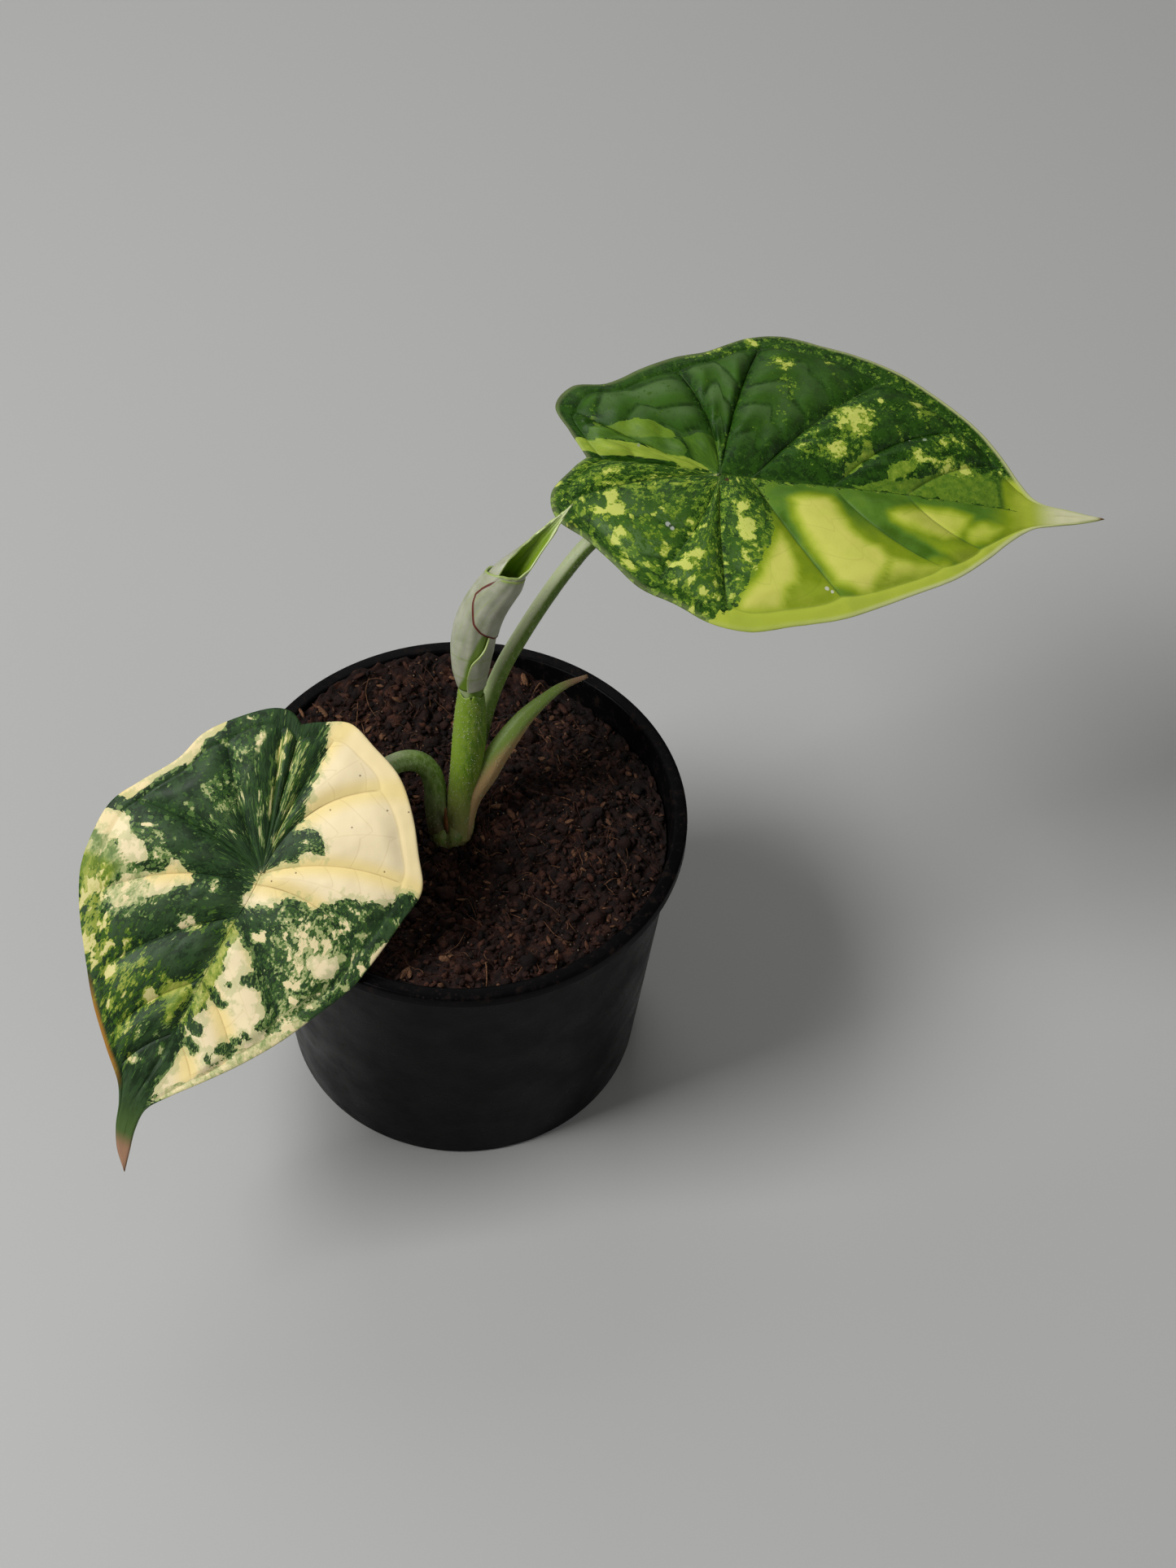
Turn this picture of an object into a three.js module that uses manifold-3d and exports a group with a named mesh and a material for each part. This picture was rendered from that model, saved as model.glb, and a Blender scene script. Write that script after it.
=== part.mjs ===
// A potted variegated dragon scale alocasia: a round nursery pot of coir mix, the plant's short crown,
// two open leaves on their petioles, a third leaf still rolled up in its sheath, and a pointed bract.
// Millimetres, +Z up. The origin is the middle of the pot's foot, and -Y is the front of the plant.

import * as THREE from "three";
import { mergeVertices } from "three/addons/utils/BufferGeometryUtils.js";
import Module from "manifold-3d";

const wasm = await Module();
wasm.setup();

// Driving sizes of the pot
const RIM_RADIUS = 60;
const POT_HEIGHT = 93;
const FOOT_RADIUS = 49.5;
const WALL = 1.2;
const BODY_TOP_RADIUS = 57.4;
const LIP_DROP = 4;
const FLOOR_LIFT = 2;
const FLOOR_THICKNESS = 1.6;
const FOOT_RING_WIDTH = 3.5;
const CENTRE_PAD_RADIUS = 26;
const DRAIN_HOLES = 8;
const DRAIN_RADIUS = 3.2;
const DRAIN_RING_RADIUS = 37;
const POT_SIDES = 60;

// Driving sizes of the mix and of the crown that stands in it
const GAP = 0.3;
const SOIL_LEVEL = 88;
const SOIL_RINGS = 9;
const SOIL_SIDES = 42;
const CROWN_X = -2.6;
const CROWN_Y = -3;
const CROWN_BOTTOM = 68;
const CROWN_TOP = 93;
const CROWN_RADIUS = 5.6;

// Driving sizes of the leaves
const BLADE_THICKNESS = 0.9;
const ROLL_THICKNESS = 0.8;
const BRACT_THICKNESS = 0.8;
const QUILT_HEIGHT = 1.7;
const QUILT_SLOPE = 0.14;
const CELL_AT_MARGIN = 19;
const VEIN_STEPS = 4;
const TIP_STEPS = 8;
const ACROSS = [0, 0.07, 0.17, 0.32, 0.5, 0.68, 0.81, 0.9, 1];

// The right leaf, held almost level above the pot. Each blade is drawn flat in its own frame: the first
// number runs along the midrib from the petiole to the tip, the second across to the blade's left side.
// A vein is [where it leaves the midrib, which margin point it runs to, how far it bows].
const RIGHT_LEAF = {
  attach: [62.9, 49.9, 172.1],
  along: [0.998, 0.031, -0.06],
  up: [0, -0.2, 1],
  droop: 8,
  rear: 3,
  fold: 0.2,
  curl: 9,
  midrib: [[-33.9, 3.2], [-17, 1.6], [0, 0], [24, -1], [48, -1.2], [70, -1.8], [84, -2.1], [93, -1.1], [101, 0]],
  halves: [
    {
      margin: [
        [-33.9, 3.2], [-38.4, 10.5], [-42.3, 18], [-38, 24.5], [-29, 25.8], [-20, 31.5], [-11.5, 36],
        [-3, 39], [7, 45], [17, 47.2], [27, 44.8], [37, 42], [48, 37], [58.7, 28.8], [67, 21.5],
        [73, 14.2], [78.5, 6], [83.5, 1.7], [92, 0.8], [101, 0],
      ],
      veins: [[0, 0, 0], [0, 2.2, 0.03], [0, 5.7, -0.08], [0, 8.6, 0.04], [8, 12, 0.03], [29, 14.2, 0.11],
        [48, 15.4, 0.1], [101, 19, 0]],
    },
    {
      margin: [
        [-33.9, 3.2], [-37.5, -0.3], [-42.5, -8], [-41, -16], [-34, -21.5], [-27, -28], [-20, -34.5],
        [-11, -38.3], [-2, -42.6], [8, -44], [18, -42], [30, -39.3], [39, -35.7], [50, -30.4],
        [60, -25.2], [68, -18.8], [75, -12], [81, -7.2], [88, -4.6], [95, -2.4], [101, 0],
      ],
      veins: [[0, 0, 0], [0, 2.6, 0.06], [0, 6.2, -0.06], [0, 8.5, 0.03], [8, 11.5, 0.04], [29, 14.2, 0.09],
        [48, 15.3, 0.09], [101, 20, 0]],
    },
  ],
};

// The left leaf, hanging over the rim towards the front
const LEFT_LEAF = {
  attach: [-47.8, -34.9, 108.3],
  along: [-0.385, -0.71, -0.59],
  up: [-0.06, -0.6, 0.8],
  droop: 6,
  rear: 3,
  fold: 0.15,
  curl: 6,
  midrib: [[-38.3, -7.2], [-19, -4.1], [0, 0], [25, -2], [46, -2.9], [58, -4.2], [66, -5.2], [73, -4.4], [79, -2.5],
    [84, 0]],
  halves: [
    {
      margin: [
        [-38.3, -7.2], [-41, -2.8], [-43.7, 4], [-41, 12], [-37, 21], [-30, 28], [-21.5, 33.8],
        [-13.5, 38.5], [-4, 37.2], [6, 35.5], [16, 33], [26, 28], [36, 22.6], [45.5, 16], [54, 9],
        [61.5, 2.4], [67, -1.6], [73, -2], [79, -0.9], [84, 0],
      ],
      veins: [[0, 0, 0], [0, 1.9, 0.02], [0, 4.2, -0.06], [0, 7, 0.12], [3, 9.6, 0.16], [12.5, 11.9, 0.03],
        [31, 13.2, 0.06], [46, 14.3, 0.06], [84, 19, 0]],
    },
    {
      margin: [
        [-38.3, -7.2], [-40.1, -11], [-38.6, -16], [-32.5, -23], [-25.5, -28.7], [-17, -31.8], [-8, -38],
        [0, -42.8], [9, -43.8], [18.5, -42.8], [28, -38.5], [38, -32], [48, -25], [57, -17],
        [63, -11.3], [68, -8.6], [74, -6.8], [79.5, -4], [84, 0],
      ],
      veins: [[0, 0, 0], [0, 1.5, 0.02], [0, 3.3, -0.03], [0, 6.7, 0.06], [3, 9.8, 0.1], [12.5, 11.5, 0.07],
        [31, 12.8, 0.08], [46, 13.7, 0.08], [84, 18, 0]],
    },
  ],
};

// The petioles' centre lines, from the crown to the underside of each blade, and their radii at each end
const RIGHT_PETIOLE = {
  path: [[0.9, 0.1, 90.5], [1.8, 5.8, 97.6], [3.3, 11.1, 105.6], [6.1, 17.6, 117], [9.6, 22.3, 126],
    [14.2, 26.7, 134], [19.4, 31.2, 142], [25.1, 35.9, 149.5], [31.4, 40.3, 156.2], [43.8, 45.8, 164.4],
    [54, 48.6, 169.2], [62.9, 49.9, 172.1]],
  radii: [2.3, 2.2, 2.1, 2.1, 2],
};
const LEFT_PETIOLE = {
  path: [[-5.3, -4, 90.5], [-6.4, -1, 95], [-7, 1.8, 100.4], [-8.4, 3, 105.6], [-11.4, 2.5, 109.6],
    [-15.5, 0.6, 111.8], [-21.4, -4.4, 112.4], [-30, -13.5, 111], [-41, -26, 108.6], [-48.2, -34.4, 107.8]],
  radii: [2.6, 2.7, 2.5, 2.2],
};

// The sheath that holds the third leaf. The leaf is rolled up round its midrib: seen down the roll, an
// angle of 0 is the midrib at the back, and the leaf winds from there both ways, the further the higher
// the angle. Each pair in the margin is an angle in degrees and how far up the roll the leaf's edge is.
const SHEATH = {
  path: [[-1, -3.6, 90], [-0.2, 0.6, 98.6], [0.7, 4.2, 107.2], [1.4, 8, 116], [1.9, 10.8, 123.2], [2.1, 12.1, 128.1]],
  radii: [3, 3.3, 3.6, 3.8, 3.9, 3.9],
};
const ROLL = {
  path: [[2.1, 12.1, 128.1], [1.6, 13.8, 134.5], [1.9, 15.5, 141], [2.9, 17.3, 147.5], [4.8, 19, 152.7],
    [7.6, 20.8, 157.3], [10.9, 22.4, 161.8], [14.8, 24.4, 165.9], [18.7, 26.6, 170.2], [22.6, 28.8, 174.5],
    [26.2, 31.2, 178.3]],
  radii: [3, 4.4, 5.2, 5.3, 5.1, 4.9, 4.6, 3.5, 2.5, 1.6, 0.4],
  front: [0, -0.62, 0.78],
  pitch: 1.25,
  foot: 0.05,
  margin: [[-200, 0.3], [-140, 0.46], [-100, 0.64], [-60, 0.84], [0, 1], [60, 0.86], [95, 0.68], [130, 0.62],
    [200, 0.59], [260, 0.54], [360, 0.44], [440, 0.34], [490, 0.22], [540, 0.1]],
  collarRadii: [3.5, 3.8, 3.2],
  spigotRadius: 2.2,
  spigotLength: 5,
};
const BRACT = {
  path: [[0.6, -4, 90.5], [1.9, -3, 95], [4.2, 0.1, 99.5], [7, 3.4, 104.6], [10, 6.6, 109.7], [13, 9.7, 113.5],
    [16.6, 13.3, 117], [20.8, 16.8, 119.7], [25.1, 20.3, 121.2], [31.7, 23.9, 122.1]],
  halfWidths: [2.6, 2.8, 2.9, 2.9, 2.8, 2.6, 2.1, 1.5, 1, 0.5],
  outwards: [0.62, -0.76, 0.2],
  wrap: 1.25,
};

const smooth = (low, high, x) => THREE.MathUtils.smoothstep(x, low, high);
const vector = (xyz) => new THREE.Vector3(...xyz);

// A closed three.js geometry as a solid for cutting and joining, and a solid back as a geometry
function toSolid(geometry) {
  const bare = geometry.index ? geometry.toNonIndexed() : geometry.clone();
  bare.deleteAttribute("normal");
  bare.deleteAttribute("uv");
  const merged = mergeVertices(bare, 1e-4);
  const mesh = new wasm.Mesh({
    numProp: 3,
    vertProperties: new Float32Array(merged.attributes.position.array),
    triVerts: new Uint32Array(merged.index.array),
  });
  return new wasm.Manifold(mesh);
}

function toGeometry(solid) {
  const mesh = solid.getMesh();
  const geometry = new THREE.BufferGeometry();
  geometry.setAttribute("position", new THREE.BufferAttribute(new Float32Array(mesh.vertProperties), 3));
  geometry.setIndex(new THREE.BufferAttribute(new Uint32Array(mesh.triVerts), 1));
  geometry.computeVertexNormals();
  return geometry;
}

// A surface given as rows of points, as one merged, indexed geometry without its collapsed triangles.
// Rows run round the surface so that each face looks the way of (next row) x (next column).
function gridSurface(sheets) {
  const corners = [];
  for (const { rows, turned } of sheets) {
    for (let i = 0; i + 1 < rows.length; i++) {
      for (let j = 0; j + 1 < rows[i].length; j++) {
        const [p, q, r, s] = [rows[i][j], rows[i + 1][j], rows[i + 1][j + 1], rows[i][j + 1]];
        corners.push(...(turned ? [p, r, q, p, s, r] : [p, q, r, p, r, s]));
      }
    }
  }
  const geometry = new THREE.BufferGeometry().setFromPoints(corners);
  const merged = mergeVertices(geometry, 1e-3);
  const index = merged.index.array;
  const kept = [];
  for (let k = 0; k < index.length; k += 3) {
    const [p, q, r] = [index[k], index[k + 1], index[k + 2]];
    if (p !== q && q !== r && r !== p) {
      kept.push(p, q, r);
    }
  }
  merged.setIndex(kept);
  return merged;
}

// A surface given a wall: its two faces stand half the thickness each side of it, with the same
// triangles, and a narrow band closes them along every open edge.
function thicken(surface, thickness) {
  surface.computeVertexNormals();
  const place = surface.attributes.position;
  const normal = surface.attributes.normal;
  const count = place.count;
  const vertices = new Float32Array(count * 6);
  for (let k = 0; k < count; k++) {
    const p = new THREE.Vector3().fromBufferAttribute(place, k);
    const n = new THREE.Vector3().fromBufferAttribute(normal, k).multiplyScalar(thickness / 2);
    p.clone().add(n).toArray(vertices, k * 3);
    p.clone().sub(n).toArray(vertices, (count + k) * 3);
  }
  const index = surface.index.array;
  const faces = [];
  const open = new Map();
  for (let k = 0; k < index.length; k += 3) {
    const face = [index[k], index[k + 1], index[k + 2]];
    faces.push(face[0], face[1], face[2], count + face[0], count + face[2], count + face[1]);
    face.forEach((from, corner) => {
      const to = face[(corner + 1) % 3];
      if (!open.delete(to + "_" + from)) {
        open.set(from + "_" + to, [from, to]);
      }
    });
  }
  for (const [from, to] of open.values()) {
    faces.push(from, count + from, count + to, from, count + to, to);
  }
  const geometry = new THREE.BufferGeometry();
  geometry.setAttribute("position", new THREE.BufferAttribute(vertices, 3));
  geometry.setIndex(faces);
  return geometry;
}

// A round tapering stem along a curve: rings of points square to it, closed by a fan at each end
function stem(path, radii, sides, steps) {
  const curve = new THREE.CatmullRomCurve3(path.map(vector));
  const frames = curve.computeFrenetFrames(steps, false);
  const points = [];
  for (let i = 0; i <= steps; i++) {
    const share = i / steps;
    const at = share * (radii.length - 1);
    const left = Math.min(Math.floor(at), radii.length - 2);
    const radius = THREE.MathUtils.lerp(radii[left], radii[left + 1], at - left);
    const centre = curve.getPointAt(share);
    for (let j = 0; j < sides; j++) {
      const turn = (2 * Math.PI * j) / sides;
      points.push(centre.clone()
        .addScaledVector(frames.normals[i], radius * Math.cos(turn))
        .addScaledVector(frames.binormals[i], radius * Math.sin(turn)));
    }
  }
  const first = points.push(curve.getPointAt(0)) - 1;
  const last = points.push(curve.getPointAt(1)) - 1;
  const faces = [];
  for (let j = 0; j < sides; j++) {
    const next = (j + 1) % sides;
    for (let i = 0; i < steps; i++) {
      const [p, q, r, s] = [i * sides + j, i * sides + next, (i + 1) * sides + next, (i + 1) * sides + j];
      faces.push(p, q, r, p, r, s);
    }
    faces.push(first, next, j);
    faces.push(last, steps * sides + j, steps * sides + next);
  }
  const geometry = new THREE.BufferGeometry().setFromPoints(points);
  geometry.setIndex(faces);
  return geometry;
}

// The blade's place in space for a point of its flat outline: the midrib droops towards the tip and the
// rear lobes, each half rises from the midrib in a shallow fold, and its outer part curls down again.
function bladeFrame(leaf) {
  const along = vector(leaf.along).normalize();
  const normal = vector(leaf.up);
  normal.addScaledVector(along, -normal.dot(along)).normalize();
  const across = new THREE.Vector3().crossVectors(normal, along);
  return (a, b, lift) => {
    const drop = a > 0 ? leaf.droop * (a / 100) ** 2 : leaf.rear * (a / 50) ** 2;
    const fold = leaf.fold * (Math.hypot(b, 3) - 3);
    const height = fold - drop - leaf.curl * (b / 40) ** 2 + lift;
    return vector(leaf.attach)
      .addScaledVector(along, a)
      .addScaledVector(across, b)
      .addScaledVector(normal, height);
  };
}

// One half of a blade as rows of points. Each row runs from the midrib to the margin as the veins do, so
// the pillows of the quilted surface lie between the rows that are veins.
function halfBlade(leaf, half, place, side) {
  const margin = new THREE.SplineCurve(half.margin.map(([a, b]) => new THREE.Vector2(a, b)));
  const midrib = new THREE.SplineCurve(leaf.midrib.map(([a, b]) => new THREE.Vector2(a, b)));
  const ribAt = (a) => {
    let [low, high] = [0, 1];
    for (let n = 0; n < 40; n++) {
      const middle = (low + high) / 2;
      [low, high] = midrib.getPoint(middle).x < a ? [middle, high] : [low, middle];
    }
    return midrib.getPoint(low);
  };
  const tip = leaf.midrib.at(-1)[0];
  const rows = [];
  for (let vein = 0; vein + 1 < half.veins.length; vein++) {
    const last = vein + 2 === half.veins.length;
    const steps = last ? TIP_STEPS : VEIN_STEPS;
    for (let step = 0; step < steps + (last ? 1 : 0); step++) {
      const x = step / steps;
      const [start, end, bow] = [0, 1, 2].map((k) =>
        THREE.MathUtils.lerp(half.veins[vein][k], half.veins[vein + 1][k], x));
      const root = start === 0 ? new THREE.Vector2(0, 0) : ribAt(Math.min(start, tip));
      const edge = margin.getPoint(end / (half.margin.length - 1));
      const chord = edge.clone().sub(root);
      const pillow = (last ? 0.6 * (1 - x) : 1) * (1 - Math.abs(2 * x - 1) ** 2.2);
      const cellAtRib = half.veins[vein + 1][0] - half.veins[vein][0];
      rows.push(ACROSS.map((v) => {
        const point = root.clone().lerp(edge, v);
        const push = 4 * v * (1 - v) * bow;
        point.x -= side * push * chord.y;
        point.y += side * push * chord.x;
        const cell = THREE.MathUtils.lerp(cellAtRib, CELL_AT_MARGIN, v);
        const tall = Math.min(QUILT_HEIGHT, QUILT_SLOPE * cell);
        const lift = tall * pillow * smooth(0, 0.16, v) * (1 - smooth(0.78, 0.92, v));
        return place(point.x, point.y, lift);
      }));
    }
  }
  return rows;
}

function blade(leaf, thickness) {
  const place = bladeFrame(leaf);
  const left = halfBlade(leaf, leaf.halves[0], place, 1);
  const right = halfBlade(leaf, leaf.halves[1], place, -1);
  return thicken(gridSurface([{ rows: left, turned: true }, { rows: right, turned: false }]), thickness);
}

// The way across a curve that faces the front, and the way to its right
function facing(ahead, front) {
  const right = new THREE.Vector3().crossVectors(ahead, front).normalize();
  return { right, ahead, front: new THREE.Vector3().crossVectors(right, ahead) };
}

function keyed(pairs, x) {
  const next = pairs.findIndex(([key]) => key > x);
  const [low, high] = next < 1 ? [pairs.at(-1), pairs.at(-1)] : [pairs[next - 1], pairs[next]];
  return high[0] === low[0] ? low[1] : THREE.MathUtils.mapLinear(x, low[0], high[0], low[1], high[1]);
}

// The rolled blade as a wound sheet: its columns run up the roll, each from the foot to the leaf's margin
function rolledBlade() {
  const curve = new THREE.CatmullRomCurve3(ROLL.path.map(vector));
  const front = vector(ROLL.front);
  const radii = ROLL.radii.map((radius, k) => [k / (ROLL.radii.length - 1), radius]);
  const [first, last] = [ROLL.margin[0][0], ROLL.margin.at(-1)[0]];
  const steps = 12;
  const columns = 36;
  const sheet = Array.from({ length: columns + 1 }, (_, j) => {
    const angle = THREE.MathUtils.lerp(first, last, j / columns);
    const turn = THREE.MathUtils.degToRad(angle);
    const top = keyed(ROLL.margin, angle);
    return Array.from({ length: steps + 1 }, (_, i) => {
      const share = THREE.MathUtils.lerp(ROLL.foot, top, i / steps);
      const axes = facing(curve.getTangent(share), front);
      const room = Math.min(1, keyed(radii, share) / 3);
      const radius = keyed(radii, share) + room * ROLL.pitch * (angle / 360 - 0.5);
      return curve.getPoint(share)
        .addScaledVector(axes.right, radius * Math.sin(turn))
        .addScaledVector(axes.front, -radius * Math.cos(turn));
    });
  });
  return thicken(gridSurface([{ rows: sheet, turned: false }]), ROLL_THICKNESS);
}

// The young leaf's own petiole: a spigot that stands in the sheath, and the collar the blade winds from
function rollFoot(grow) {
  const below = vector(SHEATH.path.at(-2));
  const top = vector(SHEATH.path.at(-1));
  const down = below.clone().sub(top).setLength(ROLL.spigotLength);
  const spigot = [top.clone().add(down), top.clone().addScaledVector(down, -0.3)].map((p) => p.toArray());
  return toSolid(stem(spigot, [ROLL.spigotRadius + grow, ROLL.spigotRadius + grow], 14, 2));
}

// The bract: a boat-shaped sheath leaf, its edges curved in towards the stalk
function bract() {
  const curve = new THREE.CatmullRomCurve3(BRACT.path.map(vector));
  const widths = new THREE.SplineCurve(BRACT.halfWidths.map((w, k) => new THREE.Vector2(k, w)));
  const steps = 16;
  const across = 8;
  const rows = [];
  for (let i = 0; i <= steps; i++) {
    const share = i / steps;
    const centre = curve.getPoint(share);
    const ahead = curve.getTangent(share);
    const out = vector(BRACT.outwards);
    out.addScaledVector(ahead, -out.dot(ahead)).normalize();
    const side = new THREE.Vector3().crossVectors(ahead, out);
    const half = widths.getPoint(share).y;
    rows.push(Array.from({ length: across + 1 }, (_, j) => {
      const turn = BRACT.wrap * ((2 * j) / across - 1);
      const radius = half / Math.sin(BRACT.wrap);
      return centre.clone()
        .addScaledVector(side, radius * Math.sin(turn))
        .addScaledVector(out, radius * (Math.cos(turn) - Math.cos(BRACT.wrap / 2)));
    }));
  }
  return thicken(gridSurface([{ rows, turned: false }]), BRACT_THICKNESS);
}

// The pot: one moulded wall with a turned-down lip, a foot ring and a centre pad it stands on, and a
// raised floor between them with its drain holes.
function pot() {
  const lipBottom = POT_HEIGHT - LIP_DROP;
  const insideTop = BODY_TOP_RADIUS - WALL;
  const insideFoot = FOOT_RADIUS - WALL;
  const profile = [
    [0, 0], [CENTRE_PAD_RADIUS, 0], [CENTRE_PAD_RADIUS + 1.5, FLOOR_LIFT],
    [FOOT_RADIUS - FOOT_RING_WIDTH - 1.5, FLOOR_LIFT], [FOOT_RADIUS - FOOT_RING_WIDTH, 0],
    [FOOT_RADIUS - 1, 0], [FOOT_RADIUS, 1], [BODY_TOP_RADIUS, lipBottom + 1.5],
    [RIM_RADIUS - WALL, lipBottom + 1.5], [RIM_RADIUS - WALL, lipBottom], [RIM_RADIUS - 0.3, lipBottom],
    [RIM_RADIUS, lipBottom + 0.5], [RIM_RADIUS, POT_HEIGHT - 1], [RIM_RADIUS - 0.8, POT_HEIGHT],
    [insideTop + 0.6, POT_HEIGHT], [insideTop, POT_HEIGHT - 0.8], [insideFoot, FLOOR_LIFT + FLOOR_THICKNESS],
    [0, FLOOR_LIFT + FLOOR_THICKNESS],
  ];
  const turned = new THREE.LatheGeometry(profile.map(([r, z]) => new THREE.Vector2(r, z)), POT_SIDES);
  turned.rotateX(Math.PI / 2);
  let solid = toSolid(turned);
  for (let k = 0; k < DRAIN_HOLES; k++) {
    const turn = (2 * Math.PI * (k + 0.5)) / DRAIN_HOLES;
    const hole = new THREE.CylinderGeometry(DRAIN_RADIUS, DRAIN_RADIUS, 12, 16);
    hole.rotateX(Math.PI / 2);
    hole.translate(DRAIN_RING_RADIUS * Math.cos(turn), DRAIN_RING_RADIUS * Math.sin(turn), 2);
    solid = solid.subtract(toSolid(hole));
  }
  return solid;
}

// The mix's surface: highest behind the crown and to its left, sunk along the right-hand wall, and lumpy
function soilHeight(x, y) {
  const mound = 2.8 * Math.exp(-((x + 30) ** 2 + (y - 32) ** 2) / 1400);
  const front = 0.8 * smooth(-20, -50, y);
  const sunk = 4.2 * smooth(16, 52, 0.9 * x + 0.42 * y);
  const lumps = 0.7 * Math.sin(0.31 * x + 1.3 * Math.sin(0.23 * y)) * Math.cos(0.27 * y + 0.9 * Math.sin(0.19 * x));
  const crumbs = 0.45 * Math.sin(0.83 * x + 0.4 * y) * Math.sin(0.71 * y - 0.3 * x);
  return SOIL_LEVEL + mound + front - sunk + lumps + crumbs;
}

function pottingMix() {
  const bottom = FLOOR_LIFT + FLOOR_THICKNESS + GAP;
  const insideAt = (z) => {
    const share = (z - FLOOR_LIFT - FLOOR_THICKNESS) / (POT_HEIGHT - 0.8 - FLOOR_LIFT - FLOOR_THICKNESS);
    return THREE.MathUtils.lerp(FOOT_RADIUS, BODY_TOP_RADIUS, share) - WALL - GAP - 0.1;
  };
  const rows = [];
  for (let j = 0; j <= SOIL_SIDES; j++) {
    const turn = (2 * Math.PI * (j % SOIL_SIDES)) / SOIL_SIDES;
    const at = (radius, z) => new THREE.Vector3(radius * Math.cos(turn), radius * Math.sin(turn), z);
    const row = [at(0, bottom), at(insideAt(bottom), bottom)];
    const brim = insideAt(SOIL_LEVEL - 5);
    for (let k = 0; k <= SOIL_RINGS; k++) {
      const radius = brim * (1 - k / SOIL_RINGS);
      const [x, y] = [radius * Math.cos(turn), radius * Math.sin(turn)];
      row.push(at(radius, soilHeight(x, y) - (k === 0 ? 1 : 0)));
    }
    rows.push(row);
  }
  return toSolid(gridSurface([{ rows, turned: false }]));
}

// The crown: the short stem that the petioles grow from, its lower part sunk in the mix
function crown(grow) {
  const profile = [
    [0, CROWN_BOTTOM - grow], [0.55 * CROWN_RADIUS + grow, CROWN_BOTTOM - grow],
    [0.95 * CROWN_RADIUS + grow, CROWN_BOTTOM + 5], [1.05 * CROWN_RADIUS + grow, CROWN_BOTTOM + 12],
    [CROWN_RADIUS + grow, CROWN_TOP - 6], [1.02 * CROWN_RADIUS + grow, CROWN_TOP - 2],
    [0.92 * CROWN_RADIUS + grow, CROWN_TOP + grow], [0, CROWN_TOP + grow],
  ];
  const turned = new THREE.LatheGeometry(profile.map(([r, z]) => new THREE.Vector2(r, z)), 28);
  turned.rotateX(Math.PI / 2);
  turned.scale(1.02, 1.14, 1);
  turned.translate(CROWN_X, CROWN_Y, 0);
  return toSolid(turned);
}

const wider = (radii, grow) => radii.map((radius) => radius + grow);
const largest = (solid) => solid.decompose().reduce((kept, body) => (body.volume() > kept.volume() ? body : kept));

const rightBlade = toSolid(blade(RIGHT_LEAF, BLADE_THICKNESS));
const leftBlade = toSolid(blade(LEFT_LEAF, BLADE_THICKNESS));
const sheathAt = (grow) => toSolid(stem(SHEATH.path, wider(SHEATH.radii, grow), 16, 18));
const rightAt = (grow) => toSolid(stem(RIGHT_PETIOLE.path, wider(RIGHT_PETIOLE.radii, grow), 12, 26));
const leftAt = (grow) => toSolid(stem(LEFT_PETIOLE.path, wider(LEFT_PETIOLE.radii, grow), 12, 24));
const crownGrown = crown(GAP);
const rightPetiole = largest(rightAt(0).subtract(toSolid(blade(RIGHT_LEAF, BLADE_THICKNESS + 2 * GAP)))
  .subtract(crownGrown).subtract(sheathAt(GAP)));
const leftPetiole = largest(leftAt(0).subtract(toSolid(blade(LEFT_LEAF, BLADE_THICKNESS + 2 * GAP)))
  .subtract(crownGrown).subtract(sheathAt(GAP)));
const collarPath = [0.012, 0.05, 0.1].map((share) =>
  new THREE.CatmullRomCurve3(ROLL.path.map(vector)).getPoint(share).toArray());
const collar = toSolid(stem(collarPath, ROLL.collarRadii, 16, 4));
const roll = largest(toSolid(rolledBlade()).add(collar).add(rollFoot(0)));
const sheath = largest(sheathAt(0).subtract(rollFoot(GAP)).subtract(crownGrown));
const bractSolid = largest(toSolid(bract()).subtract(crownGrown).subtract(sheathAt(GAP)).subtract(rightAt(GAP)));

const MATERIALS = {
  blackPlastic: { color: 0x15161a, roughness: 0.45, metalness: 0 },
  coirMix: { color: 0x3a2419, roughness: 0.95, metalness: 0 },
  crownGreen: { color: 0x7d9150, roughness: 0.6, metalness: 0 },
  petioleGreen: { color: 0x6f9a45, roughness: 0.55, metalness: 0 },
  limeBlade: { color: 0x5d8a33, roughness: 0.45, metalness: 0 },
  creamBlade: { color: 0x8fa468, roughness: 0.45, metalness: 0 },
  youngBlade: { color: 0xb9c9a4, roughness: 0.5, metalness: 0 },
  bractGreen: { color: 0x8a8a4e, roughness: 0.6, metalness: 0 },
};

const plant = new THREE.Group();

function addPiece(name, solid, material) {
  const mesh = new THREE.Mesh(toGeometry(solid), new THREE.MeshStandardMaterial(MATERIALS[material]));
  mesh.name = name;
  plant.add(mesh);
}

addPiece("pot", pot(), "blackPlastic");
addPiece("potting_mix", pottingMix().subtract(crownGrown).subtract(rightAt(GAP)), "coirMix");
addPiece("crown", crown(0), "crownGreen");
addPiece("right_leaf_petiole", rightPetiole, "petioleGreen");
addPiece("right_leaf_blade", rightBlade, "limeBlade");
addPiece("left_leaf_petiole", leftPetiole, "petioleGreen");
addPiece("left_leaf_blade", leftBlade, "creamBlade");
addPiece("new_leaf_sheath", sheath, "petioleGreen");
addPiece("new_leaf_roll", roll, "youngBlade");
addPiece("bract", bractSolid, "bractGreen");

export default plant;
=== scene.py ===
import bpy
import numpy as np
from mathutils import Matrix, Vector


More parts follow.
